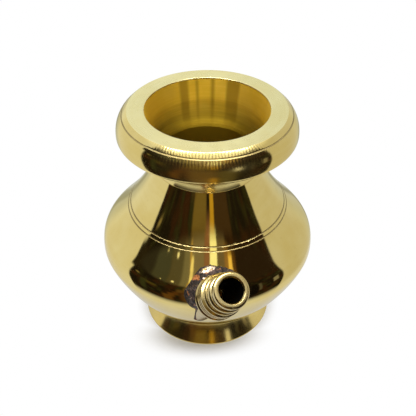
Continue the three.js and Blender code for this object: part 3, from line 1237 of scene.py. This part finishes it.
@dataclass(frozen=True)
class Foot:
    """The flared foot ring, open underneath."""

    datums: Datums
    top_radius: float = 21.1
    edge_height: float = 0.5
    wall: float = 2.6
    land: float = 3.2
    waist: Point = (-2.2, -1.5)
    spread: Point = (-2.4, 3.5)
    edge_round: float = 0.25
    segments: int = 320

    def _side(self, top_radius: float, base: Point, waist: Point) -> Bezier:
        """A wall that draws in under its seat and spreads towards the table.

        Args:
            top_radius: The wall's radius at its seat.
            base: Its radius and height at its foot.
            waist: How far its upper handle lies from its top.

        Returns:
            The curve from the seat down.
        """
        seat = self.datums.foot_seat
        return Bezier((
            (top_radius, seat),
            (top_radius + waist[0], seat + waist[1]),
            (base[0] + self.spread[0], base[1] + self.spread[1]),
            base,
        ))

    def build(self) -> bpy.types.Object:
        """Revolves and dresses the foot.

        Returns:
            The dressed piece.
        """
        radius = self.datums.foot_radius
        outside = self._side(self.top_radius, (radius, self.edge_height), self.waist)
        upright = (0, self.waist[1])
        inside = self._side(self.top_radius - self.wall, (radius - self.land, 0), upright)
        outline = Outline()
        outline.add(Side.SHOW, [(radius, 0)], outside.run(40, 1, 0))
        outline.add(Side.INNER, inside.run(24))
        outline.add(Side.FACE, [(radius - self.land / 2, 0)])
        smooth = outline.eased(self.edge_round)
        piece = self.datums.stand(smooth.revolved("flared_foot", self.segments))
        dress(piece, WORN, SATIN, CAST)
        return seat(piece, "foot_ring", "polished_brass")


@dataclass(frozen=True)
class MouthRing:
    """The thick mouth ring: hollow underneath, banded outside, flat on top, cup-shaped inside."""

    datums: Datums
    neck_radius: float = 18.3
    mouth_radius: float = 20.9
    mouth_taper: float = 1.4
    mouth_depth: float = 16.0
    fillet_height: float = 8.5
    throat_radius: float = 15.6
    throat_edge: float = 0.8
    top_radius: float = 26.7
    bevel_fullness: float = 0.03
    groove_radius: float = 28.4
    groove_drop: float = 1.55
    groove_width: float = 0.36
    groove_depth: float = 0.24
    shoulder_drop: float = 4.3
    bulge_drop: float = 7.9
    thickness: float = 9.5
    edge_set_back: float = 1.4
    cove_steepness: float = 0.6
    cove_flatness: float = 0.62
    spigot_wall: float = 1.3
    spigot_length: float = 2.4
    face_edge: float = 0.5
    edge_round: float = 0.22
    segments: int = 448

    def _cove(self) -> Bezier:
        """The hollow from the neck out to the band's lower edge.

        Returns:
            The curve.
        """
        d = self.datums
        edge = d.rim_top - self.thickness
        out = d.rim_radius - self.edge_set_back
        return Bezier((
            (self.neck_radius, d.neck),
            (self.neck_radius, d.neck + self.cove_steepness * (edge - d.neck)),
            (out - self.cove_flatness * (out - self.neck_radius), edge),
            (out, edge),
        ))

    def _band(self) -> Array:
        """The band from its lower edge up to the groove under the bevel.

        Returns:
            Its points.
        """
        d = self.datums
        edge = d.rim_top - self.thickness
        bulge = d.rim_top - self.bulge_drop
        groove = d.rim_top - self.groove_drop
        half = self.groove_width / 2
        set_back = d.rim_radius - self.edge_set_back
        lower = Bezier(((set_back, edge), (d.rim_radius, edge), (d.rim_radius, bulge)))
        upper = Bezier((
            (d.rim_radius, bulge),
            (d.rim_radius, d.rim_top - self.shoulder_drop),
            (self.groove_radius + half, groove - half),
        ))
        return np.vstack((lower.run(14), upper.run(36)))

    def _bevel(self) -> Array:
        """The slightly full bevel from the groove up to the flat top.

        Returns:
            Its points.
        """
        half = self.groove_width / 2
        low = np.array((self.groove_radius - half, self.datums.rim_top - self.groove_drop + half))
        high = np.array((self.top_radius, self.datums.rim_top))
        full = (low + high) / 2 + 2 * self.bevel_fullness
        return Bezier((tuple(low), tuple(full), tuple(high))).run(6)

    def _bore(self) -> Array:
        """The mouth's wall and floor, which one curve joins down to the throat.

        Returns:
            Its points.
        """
        d = self.datums
        throat = d.rim_top - self.mouth_depth
        wall = self.mouth_radius - self.mouth_taper
        fillet = Bezier((
            (wall, throat + self.fillet_height),
            (wall, throat + self.throat_edge / 2),
            (self.throat_radius + self.throat_edge, throat),
        ))
        return fillet.run(28)

    def build(self) -> bpy.types.Object:
        """Revolves and dresses the ring.

        Returns:
            The dressed piece.
        """
        d = self.datums
        groove = d.rim_top - self.groove_drop
        throat = d.rim_top - self.mouth_depth
        spigot = self.throat_radius + self.spigot_wall
        bevel = self._bevel()
        flat = np.linspace((self.top_radius, d.rim_top), (self.mouth_radius, d.rim_top), 8)
        low = d.neck - self.spigot_length
        outline = Outline()
        outline.add(Side.SHOW, self._cove().run(48), self._band())
        outline.add(Side.LINE, [(self.groove_radius - self.groove_depth, groove)], bevel[:1])
        outline.add(Side.SHOW, bevel[1:])
        outline.add(Side.FACE, flat[1:], [(self.mouth_radius, d.rim_top - self.face_edge)])
        outline.add(
            Side.INNER,
            self._bore(),
            [(self.throat_radius, throat - self.throat_edge), (self.throat_radius, low)],
            [(spigot, low), (spigot, d.neck)],
        )
        smooth = outline.eased(self.edge_round)
        piece = d.stand(smooth.revolved("turned_mouth_ring", self.segments))
        dress(piece, BAND, SATIN, BORE, LINE_SHADE)
        return seat(piece, "mouth_rim", "satin_brass")


@dataclass(frozen=True)
class Ridge:
    """A half-round ring round the spout, by its place along the spout's axis."""

    middle: float
    half: float
    radius: float
    depth: float = 0.9

    def points(self, steps: int = 14) -> Array:
        """The ridge's outline between its two valleys.

        Args:
            steps: How many edges it has.

        Returns:
            Its points.
        """
        turn = np.linspace(0, math.pi, steps + 1)
        out = self.radius - self.depth + self.depth * np.sin(turn)
        return np.column_stack((out, self.middle - self.half * np.cos(turn)))


@dataclass(frozen=True)
class Spout:
    """The short turned spout, saddle-cut to the belly, and the filler that holds it."""

    belly: Belly
    base_rise: float = 3.5
    rise: float = math.radians(52)
    swing: float = math.radians(25)
    length: float = 20.8
    bore: float = 3.95
    shank: float = 5.0
    root: float = 15.0
    flange_start: float = 5.5
    flange_width: float = 0.8
    flange_radius: float = 7.4
    collar_start: float = 7.2
    collar_end: float = 11.3
    collar_radius: float = 7.1
    collar_lines: tuple[float, ...] = (8.7, 10.0)
    line_width: float = 0.6
    line_depth: float = 0.3
    ridges: tuple[Ridge, ...] = (Ridge(12.9, 1.0, 6.65), Ridge(16.1, 1.25, 6.35))
    lip_radius: float = 5.85
    lip_width: float = 2.6
    lip_round: float = 0.8
    # Length of bore at the lip that keeps the spout's finish before the painted shade starts.
    unshaded_bore: float = 3.0
    edge_round: float = 0.14
    clearance: float = 0.3
    hair: float = 0.05
    flange_gap: float = 0.1
    toe_angles: tuple[float, ...] = (-180, -120, -95, -79, -58, -26, 8, 30, 60, 90, 120, 180)
    toe_reach: tuple[float, ...] = (4.7, 4.7, 5.2, 6.9, 8.9, 10.1, 10.9, 10.7, 11.2, 8.6, 5.6, 4.7)
    heel: float = 1.7
    low_height: float = 1.2
    lump: float = 0.6
    lump_grain: float = 0.42
    seated_share: float = 0.33
    upper_span: Point = (0.35, 0.9)  # how high on the spout the filler starts and is full
    upper_turn: float = 0.2
    toe_wave: float = 0.3
    toe_waves: tuple[tuple[int, float, float], ...] = ((5, 1, 1.0), (8, 2, 0.6))
    thin_heel: float = 0.2  # the heel's share that is left under the spout
    toe_step: Point = (-0.1, 0.1)
    toe_rise: float = 1.2
    climb_bulge: Point = (1.4, 0.6)
    fractal: tuple[float, float, int] = (1.0, 2.1, 5)
    fine_lump: Point = (0.35, 1.9)
    low_lump: float = 0.15  # the lumps' share that is left under the spout
    lump_lean: float = 0.8  # how much the lumps grow along the spout as they grow outwards
    halvings: int = 24
    around: int = 240
    across: int = 36
    segments: int = 192

    @cached_property
    def placement(self) -> Matrix:
        """The spout's own frame: its base on the belly, and its axis along Z.

        Returns:
            The frame as a matrix, in metres.
        """
        level = math.cos(self.rise)
        ahead = -level * math.cos(self.swing)
        axis = Vector((level * math.sin(self.swing), ahead, math.sin(self.rise)))
        side = Vector((0, 0, 1)).cross(axis).normalized()
        up = axis.cross(side)
        d = self.belly.datums
        height = self.belly.widest + self.base_rise
        base = Vector((d.axis[0], d.axis[1] - self.belly.spout_foot(height), height)) * MM
        turned = Matrix((side, up, axis)).transposed().to_4x4()
        return Matrix.Translation(base) @ turned

    def _collar(self) -> list[Point]:
        """The collar's outline, with its fine lines.

        Returns:
            Its points.
        """
        points = [
            (self.collar_radius - self.line_depth, self.collar_start - self.line_width / 2),
            (self.collar_radius, self.collar_start),
        ]
        for middle in self.collar_lines:
            points.append((self.collar_radius, middle - self.line_width / 2))
            points.append((self.collar_radius - self.line_depth, middle))
            points.append((self.collar_radius, middle + self.line_width / 2))
        points.append((self.collar_radius, self.collar_end))
        return points

    def nozzle(self) -> bpy.types.Object:
        """Revolves the spout, cuts its root to the belly and dresses it.

        Returns:
            The dressed piece.
        """
        front = Bezier((
            (self.lip_radius, self.length - self.lip_round),
            (self.lip_radius, self.length),
            (self.lip_radius - self.lip_round, self.length),
        ))
        flange_end = self.flange_start + self.flange_width
        lip = self.length - self.lip_width
        outline = Outline().add(
            Side.SHOW,
            [(self.shank, -self.root), (self.shank, self.flange_start)],
            [(self.flange_radius, self.flange_start), (self.flange_radius, flange_end)],
            self._collar(),
            *(ridge.points() for ridge in self.ridges),
            [(self.lip_radius - self.lip_round, lip), (self.lip_radius, lip + self.lip_round)],
            front.run(10),
            [(self.bore + self.lip_round / 2, self.length)],
            [(self.bore, self.length - self.lip_round / 2)],
        )
        # Past a short length at the lip, the bore is dressed in near-black painted shade.
        bare = self.length - self.unshaded_bore
        outline.add(Side.INNER, [(self.bore, bare), (self.bore, -self.root)])
        piece = outline.eased(self.edge_round).revolved("ringed_spout", self.segments)
        piece.matrix_world = self.placement
        dress(piece, AGED, AGED, BORE_SHADE)
        cut_away(piece, self.belly.body_cutter(self.clearance))
        return seat(piece, "spout_nozzle", "aged_brass")

    @cached_property
    def _belly_line(self) -> Array:
        """The belly's outline from bottom to top, a hair outside its surface.

        Returns:
            Its points.
        """
        upper = self.belly.shoulder.run(96, 0, 1, -self.hair)
        lower = self.belly.bowl.run(96, 0, 1, -self.hair)[1:]
        return np.vstack((upper, lower))[::-1]

    @staticmethod
    def _spots(reach: Array, angle: float, along: Array) -> Array:
        """Points beside the spout's axis, all on one side of it and in its own frame."""
        return np.stack((reach * math.sin(angle), reach * math.cos(angle), along), axis=-1)

    def _wall(self, reach: Array, angle: float) -> Array:
        """Finds where lines beside the spout's axis meet the belly.

        Args:
            reach: How far the lines lie from the axis, in millimetres.
            angle: Which way they lie, from straight up towards the right, in radians.

        Returns:
            Distances along the axis, from the spout's base.
        """
        turned = np.array(self.placement)
        axis = self.belly.datums.axis
        low = np.full(reach.shape, -self.root)
        high = np.full(reach.shape, self.flange_start)
        for _ in range(self.halvings):
            along = (low + high) / 2
            world = self._spots(reach, angle, along) @ turned[:3, :3].T + turned[:3, 3] / MM
            away = np.hypot(world[..., 0] - axis[0], world[..., 1] - axis[1])
            free = away > np.interp(world[..., 2], self._belly_line[:, 1], self._belly_line[:, 0])
            low, high = np.where(free, low, along), np.where(free, along, high)
        return (low + high) / 2

    def filler(self) -> bpy.types.Object:
        """Makes the rough run of filler between the belly and the back of the flange.

        Returns:
            The dressed piece.
        """
        rows = [self._filler_section(FULL_TURN * i / self.around) for i in range(self.around)]
        vertices = [tuple(spot) for row in rows for spot in row * MM]
        faces = []
        for i in range(self.around):
            here, there = i * self.across, (i + 1) % self.around * self.across
            for j in range(self.across):
                k = (j + 1) % self.across
                faces.append((here + j, there + j, there + k, here + k))
        piece = mesh_object("spout_brazing", vertices, faces)
        piece.matrix_world = self.placement
        dress(piece, FillerFinish("braze_crust"))
        return seat(piece, "spout_braze", "braze_filler")

    def _filler_section(self, angle: float) -> Array:
        """One lumpy section of the filler.

        Args:
            angle: Which way the section lies, as for _wall.

        Returns:
            Points in the spout's frame, counter-clockwise seen along growing angles.
        """
        upper = smoothstep(*self.upper_span, (1 + math.cos(angle + self.upper_turn)) / 2)
        inner = self.shank + self.hair
        under = self.flange_start - self.flange_gap
        turn = math.degrees(angle if angle < math.pi else angle - FULL_TURN)
        toe = float(np.interp(turn, self.toe_angles, self.toe_reach))
        waves = (share * math.sin(count * angle + start) for count, start, share in self.toe_waves)
        toe += upper * self.toe_wave * sum(waves)
        seated = round(self.across * self.seated_share)
        reach = np.linspace(inner, toe, seated + 1)
        floor = self._wall(reach, angle)
        root, toe_along = floor[0], floor[-1]
        top = min(under, root + self.low_height + (under - root - self.low_height) * upper)
        heel = min(toe, inner + self.heel * (self.thin_heel + (1 - self.thin_heel) * upper))
        climb = Bezier((
            (toe, toe_along),
            (toe + self.toe_step[0], toe_along + self.toe_rise * upper + self.toe_step[1]),
            (
                heel + self.climb_bulge[0] * upper,
                (top + toe_along) / 2 + self.climb_bulge[1] * upper,
            ),
            (heel, top),
        ))
        free = climb.run(self.across - seated - 3)
        low = np.column_stack((reach, floor))[:-1]
        section = np.vstack((low, free, [(inner, top), (inner, (top + root) / 2)]))
        made = self._spots(section[:, 0], angle, section[:, 1])
        outward = np.array((math.sin(angle), math.cos(angle), self.lump_lean))
        share, grain = self.fine_lump
        height = self.lump * (self.low_lump + (1 - self.low_lump) * upper)
        for j in range(seated + 1, seated + len(free) - 1):
            spot = Vector(made[j])
            rough = noise.fractal(spot * self.lump_grain, *self.fractal)
            rough += share * noise.noise(spot * grain)
            made[j] += rough * height * outward
        return made


@dataclass(frozen=True)
class HiddenFiller:
    """A thin run of filler in an inner corner of the body."""

    datums: Datums
    node: str
    name: str
    hanging: bool
    spread: float
    hollow: float = 0.35
    steps: int = 6
    segments: int = 160

    def build(self) -> bpy.types.Object:
        """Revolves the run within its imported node's box and dresses it.

        Returns:
            The dressed piece.
        """
        low, high = (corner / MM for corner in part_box(self.node))
        outer = (high.x - low.x) / 2
        width = self.spread * (high.z - low.z)
        corner, tip = (high.z, low.z) if self.hanging else (low.z, high.z)
        middle = (outer - self.hollow * width, corner)
        face = Bezier(((outer - width, corner), middle, (outer, tip))).run(self.steps)
        outline = Outline().add(Side.SHOW, [(outer, corner)], face if self.hanging else face[::-1])
        piece = self.datums.stand(outline.revolved(self.name, self.segments))
        dress(piece, FillerFinish("braze_crust"))
        return seat(piece, self.node, "braze_filler")


@dataclass(frozen=True)
class Panel:
    """A patch of the light tent, by the direction in which a polished surface shows it.

    Angles are in degrees. Azimuth 0 is towards the opening, and grows to its right.
    """

    azimuth: Point
    elevation: Point
    level: Colour
    soft: Point = (3.0, 4.0)


@dataclass(frozen=True)
class Tent:
    """The white light tent round the pot, with a dark room behind its open front."""

    turn: float = -2.3
    left: Colour = (0.76, 0.76, 0.74)
    right: Colour = (0.62, 0.60, 0.54)
    back_left: Colour = (0.84, 0.87, 0.86)
    back_right: Colour = (0.72, 0.75, 0.72)
    roof: Colour = (1.0, 1.0, 0.98)
    plain: float = 0.55
    opening: Panel = Panel((-81.5, 78.8), (-89, 47), (0.012, 0.009, 0.006), (2.5, 5.0))
    murk_brown: Colour = (0.036, 0.015, 0.007)
    murk_olive: Colour = (0.026, 0.026, 0.011)
    brown_shapes: Cloud = Cloud(4.5, low=0.42, high=0.66)
    olive_shapes: Cloud = Cloud(7.0, 2.0, low=0.52, high=0.70)
    side_change: Point = (-0.4, 0.4)  # across the ray's direction, from left to right
    back_change: Point = (-0.25, 0.25)
    back_start: Point = (0.45, 0.9)  # along the ray's direction, from the walls to the back
    roof_start: Point = (36.0, 52.0)  # degrees of elevation
    panels: tuple[Panel, ...] = (
        Panel((-86, -79), (19, 34), (0.022, 0.017, 0.010), (2.0, 5.0)),
        Panel((-80, -63), (26, 46), (0.030, 0.027, 0.020), (4.0, 5.0)),
        Panel((-63, -44), (27, 46), (0.062, 0.064, 0.045), (5.0, 6.0)),
        Panel((-45, -29), (28, 47), (0.095, 0.083, 0.048), (4.0, 7.0)),
        Panel((-30, -21), (29, 47), (0.19, 0.17, 0.105), (4.0, 7.0)),
        Panel((-22, -3), (27, 47), (0.22, 0.18, 0.115), (4.0, 8.0)),
        Panel((-4, 4), (24, 47), (0.27, 0.135, 0.08), (3.0, 8.0)),
        Panel((-24, -2), (8, 27), (0.165, 0.115, 0.032), (4.0, 7.0)),
        Panel((-66, -50), (1, 9), (0.066, 0.052, 0.013), (6.0, 5.0)),
        Panel((-30, -20), (3, 17), (0.10, 0.055, 0.020), (4.0, 7.0)),
        Panel((-68, -61), (-24, 8), (0.034, 0.038, 0.016), (4.0, 8.0)),
        Panel((-26, -10), (-30, 6), (0.050, 0.016, 0.008), (6.0, 8.0)),
        Panel((-33, -27), (-10, 5), (0.085, 0.036, 0.010), (4.0, 6.0)),
        Panel((-38, -31), (-20, -4), (0.105, 0.045, 0.012), (4.0, 7.0)),
        Panel((-44, -34), (-34, -15), (0.115, 0.055, 0.014), (5.0, 7.0)),
        Panel((41, 50), (-26, 15), (0.005, 0.004, 0.003), (3.0, 6.0)),
        Panel((50.5, 53.5), (-16, 11), (0.085, 0.080, 0.068), (1.6, 4.0)),
        Panel((66.5, 72.5), (-9, 5), (0.24, 0.22, 0.18), (2.4, 3.0)),
        Panel((12, 24), (27, 47), (0.165, 0.125, 0.075), (4.0, 8.0)),
        Panel((22, 28), (31, 47), (0.31, 0.175, 0.055), (3.0, 8.0)),
        Panel((31, 36), (31, 47), (0.11, 0.055, 0.016), (3.0, 8.0)),
        Panel((27, 31.5), (33, 44), (0.98, 0.66, 0.17), (2.2, 5.0)),
        Panel((36, 76), (26, 47), (0.023, 0.014, 0.009), (4.0, 6.0)),
        Panel((11, 36), (10, 26), (0.052, 0.030, 0.014), (4.0, 6.0)),
        Panel((-22, 12), (-60, 4), (0.12, 0.075, 0.028), (14.0, 10.0)),
        Panel((12, 34), (-60, 2), (0.085, 0.068, 0.024), (10.0, 10.0)),
        Panel((3.8, 10.6), (-62, -24), (0.50, 0.27, 0.02), (2.5, 10.0)),
        Panel((3.8, 10.6), (10, 28), (0.52, 0.31, 0.03), (2.5, 8.0)),
        Panel((-76.0, -72.0), (14, 16.5), (0.26, 0.21, 0.10), (3.0, 2.4)),
        Panel((-190, -138), (-60, -3), (0.60, 0.62, 0.56), (16.0, 8.0)),
        Panel((-166, -149), (-27, -16), (0.40, 0.41, 0.33), (8.0, 6.0)),
        Panel((138, 190), (-60, -3), (0.60, 0.61, 0.54), (16.0, 8.0)),
        Panel((150, 164), (-32, -23), (0.36, 0.36, 0.28), (7.0, 5.0)),
        Panel((3.4, 12.6), (27, 43), (1.15, 1.15, 0.80), (2.0, 7.0)),
        Panel((-21.4, -17.8), (35, 42), (1.0, 0.86, 0.42), (1.6, 3.0)),
        Panel((-22.4, -20.2), (29, 37), (0.50, 0.34, 0.10), (1.6, 4.0)),
        Panel((-39.2, -36.8), (31.6, 34.0), (1.1, 1.05, 0.75), (1.0, 1.2)),
        Panel((-51.8, -50.4), (28.6, 29.8), (0.8, 0.75, 0.5), (0.8, 0.9)),
    )

    def build(self) -> None:
        """Sets the world: white for the camera, the tent for gloss, else a plain level."""
        world = bpy.data.worlds.new("light_tent")
        world.use_nodes = True
        bpy.context.scene.world = world
        graph = Graph(world.node_tree)
        heading = graph.add("ShaderNodeTexCoord").outputs["Generated"]
        x, y, z = graph.parted(heading)
        ahead = graph.math("ARCTAN2", x, graph.math("MULTIPLY", y, -1.0))
        azimuth = graph.math("MULTIPLY_ADD", ahead, math.degrees(1), -self.turn)
        elevation = graph.math("MULTIPLY", graph.math("ARCSINE", z), math.degrees(1))
        walls = graph.blend(graph.step(x, *self.side_change), self.left, self.right)
        back = graph.blend(graph.step(x, *self.back_change), self.back_left, self.back_right)
        shown = graph.blend(graph.step(y, *self.back_start), walls, back)
        shown = graph.blend(graph.step(elevation, *self.roof_start), shown, self.roof)
        room = self._room(graph, heading)
        shown = self._lay(graph, (azimuth, elevation), shown, self.opening, room)
        for panel in self.panels:
            shown = self._lay(graph, (azimuth, elevation), shown, panel, panel.level)
        light = graph.blend(graph.polished_ray(), (self.plain,) * 3, shown)
        light = graph.blend(graph.camera_ray(), light, WHITE)
        graph.ended("ShaderNodeOutputWorld", graph.fed("ShaderNodeBackground", light))
        LOG.info("light tent with %d panels", len(self.panels))

    def _room(self, graph: Graph, heading: Socket) -> Socket:
        """The dark room seen through the opening, with dim brown and olive shapes.

        Args:
            graph: The world's tree.
            heading: The direction of the ray.

        Returns:
            The room's colour.
        """
        brown = graph.eased(heading, self.brown_shapes)
        shown = graph.blend(brown, self.opening.level, self.murk_brown)
        olive = graph.eased(heading, self.olive_shapes)
        return graph.blend(olive, shown, self.murk_olive)

    @staticmethod
    def _lay(
        graph: Graph, heading: tuple[Socket, Socket], below: Socket, panel: Panel, level: Feed
    ) -> Socket:
        """Lays a panel over what is already in the tent.

        Args:
            graph: The world's tree.
            heading: The ray's azimuth and elevation, in degrees.
            below: What is in the tent already.
            panel: Where the panel hangs.
            level: Its colour.

        Returns:
            The tent with the panel in it.
        """
        across = graph.window(heading[0], *panel.azimuth, panel.soft[0])
        height = graph.window(heading[1], *panel.elevation, panel.soft[1])
        return graph.blend(graph.product(across, height), below, level)


@dataclass(frozen=True)
class Lamp:
    """A soft rectangular lamp: where it hangs and its size in metres, and its power in watts."""

    name: str
    place: Spot
    size: Point
    power: float
    glossy: bool = False
    aim: Spot = (0.0, 0.0, 0.03)

    def build(self) -> bpy.types.Object:
        """Hangs the lamp and points it at the pot.

        Returns:
            The lamp.
        """
        data = bpy.data.lights.new(self.name, "AREA")
        data.shape = "RECTANGLE"
        data.size, data.size_y = self.size
        data.energy = self.power
        lamp = linked(self.name, data)
        lamp.location = self.place
        away = Vector(self.aim) - Vector(self.place)
        lamp.rotation_euler = away.to_track_quat("-Z", "Y").to_euler()
        lamp.visible_glossy = self.glossy
        return lamp


@dataclass(frozen=True)
class Studio:
    """The pale floor, the soft lamps and the camera."""

    datums: Datums
    azimuth: float = math.radians(-2.29)
    pitch: float = math.radians(38.62)
    distance: float = 240.0
    aim_height: float = 47.62
    lens: float = 56.25
    sensor: float = 36.0
    shift: float = 0.0014
    floor_radius: float = 3000.0
    floor_drop: float = 0.02
    floor_segments: int = 96
    grain: Cloud = Cloud(0.4, 4.0, low=0.3, high=0.7)
    grain_shade: Point = (0.985, 1.0)
    albedo: float = 0.86
    shadow_lift: float = 0.09
    shadow_centre: Point = (-3.0, -20.0)
    shadow_depth: float = 2.42
    shadow_ring: Point = (2.1, -33.0)
    shadow_reach: Point = (10.0, 30.0)
    mirrored_albedo: float = 0.10
    mirrored_lift: float = 0.56
    sheet_reach: Point = (70.0, 97.0)
    lamps: tuple[Lamp, ...] = (
        Lamp("overhead_softbox", (0.0, 0.05, 0.75), (0.6, 0.6), 3.0),
        Lamp("mouth_softbox", (0.0, -0.08, 0.60), (0.6, 0.14), 4.0, glossy=True),
        Lamp("side_card", (0.187, -0.299, 0.088), (0.045, 0.06), 0.007, glossy=True),
    )

    def camera(self) -> bpy.types.Object:
        """Puts the camera at the photograph's viewing angle.

        Returns:
            The camera.
        """
        data = bpy.data.cameras.new("front_camera")
        data.lens = self.lens
        data.sensor_width = self.sensor
        data.shift_x = self.shift
        eye = linked("front_camera", data)
        level = self.distance * math.cos(self.pitch)
        target = Vector((self.datums.axis[0], self.datums.axis[1], self.aim_height))
        height = self.distance * math.sin(self.pitch)
        away = Vector((math.sin(self.azimuth) * level, -math.cos(self.azimuth) * level, height))
        eye.location = (target + away) * MM
        eye.rotation_euler = (-away).to_track_quat("-Z", "Y").to_euler()
        bpy.context.scene.camera = eye
        return eye

    def floor(self) -> bpy.types.Object:
        """Lays a pale floor that keeps the pot's soft shadow.

        Returns:
            The floor.
        """
        steps = np.linspace(0, FULL_TURN, self.floor_segments, endpoint=False)
        reach = self.floor_radius * MM
        edge = [(math.cos(a) * reach, math.sin(a) * reach, 0.0) for a in steps]
        floor = mesh_object("pale_floor", edge, [tuple(range(len(edge)))])
        x, y = self.datums.axis
        floor.location = (x * MM, y * MM, -self.floor_drop * MM)
        floor.data.materials.append(self._floor_finish())
        return floor

    def _floor_finish(self) -> bpy.types.Material:
        """White paper that fades to plain white, and that the polish shows only near the pot.

        Returns:
            A procedural material.
        """
        made, graph, lathe = new_material("floor_paper")
        paper = self._paper(graph, lathe, self.albedo)
        wide = graph.total(lathe.x, -self.shadow_centre[0])
        deep = graph.product(graph.total(lathe.y, -self.shadow_centre[1]), self.shadow_depth)
        ring = graph.math("MULTIPLY_ADD", lathe.radius, *self.shadow_ring)
        reach = graph.math("MINIMUM", graph.length(wide, deep), ring)
        near = graph.summed(paper, self._glow(graph, self.shadow_lift))
        seen = graph.mixed(graph.step(reach, *self.shadow_reach), near, self._glow(graph, 1.0))
        dimmer = self._paper(graph, lathe, self.mirrored_albedo)
        sheet = graph.summed(dimmer, self._glow(graph, self.mirrored_lift))
        beyond = graph.step(lathe.radius, *self.sheet_reach)
        mirrored = graph.mixed(beyond, sheet, graph.fed("ShaderNodeBsdfTransparent"))
        shown = graph.mixed(graph.polished_ray(), paper, mirrored)
        shown = graph.mixed(graph.camera_ray(), shown, seen)
        graph.ended("ShaderNodeOutputMaterial", shown)
        return made

    def _paper(self, graph: Graph, lathe: Lathe, albedo: float) -> Socket:
        """Matt paper with a faint grain."""
        grain = graph.eased(lathe.where, self.grain, *self.grain_shade)
        return graph.fed("ShaderNodeBsdfDiffuse", graph.blend(grain, BLACK, (albedo,) * 3))

    @staticmethod
    def _glow(graph: Graph, level: float) -> Socket:
        """A plain white glow of a level."""
        return graph.fed("ShaderNodeEmission", (level,) * 3)

    def build(self) -> None:
        """Sets up the floor, the lamps, the tent and the camera."""
        scene = bpy.context.scene
        scene.view_settings.view_transform = "Standard"
        self.floor()
        for lamp in self.lamps:
            lamp.build()
        Tent().build()
        self.camera()
        LOG.info("studio ready")


def main() -> None:
    """Builds the pot's pieces in order, then the studio round them."""
    logging.basicConfig(level=logging.INFO, format="%(message)s")
    datums = Datums.read()
    belly = Belly(datums)
    spout = Spout(belly)
    builders: tuple[Callable[[], bpy.types.Object], ...] = (
        MouthRing(datums).build,
        belly.shell,
        belly.base,
        Foot(datums).build,
        spout.nozzle,
        spout.filler,
        HiddenFiller(datums, "neck_braze", "neck_brazing", hanging=True, spread=0.5).build,
        HiddenFiller(datums, "belly_braze", "belly_brazing", hanging=False, spread=2.0).build,
        HiddenFiller(datums, "foot_braze", "foot_brazing", hanging=True, spread=1.0).build,
    )
    for build in builders:
        build()
    Studio(datums).build()


if __name__ == "__main__":
    main()
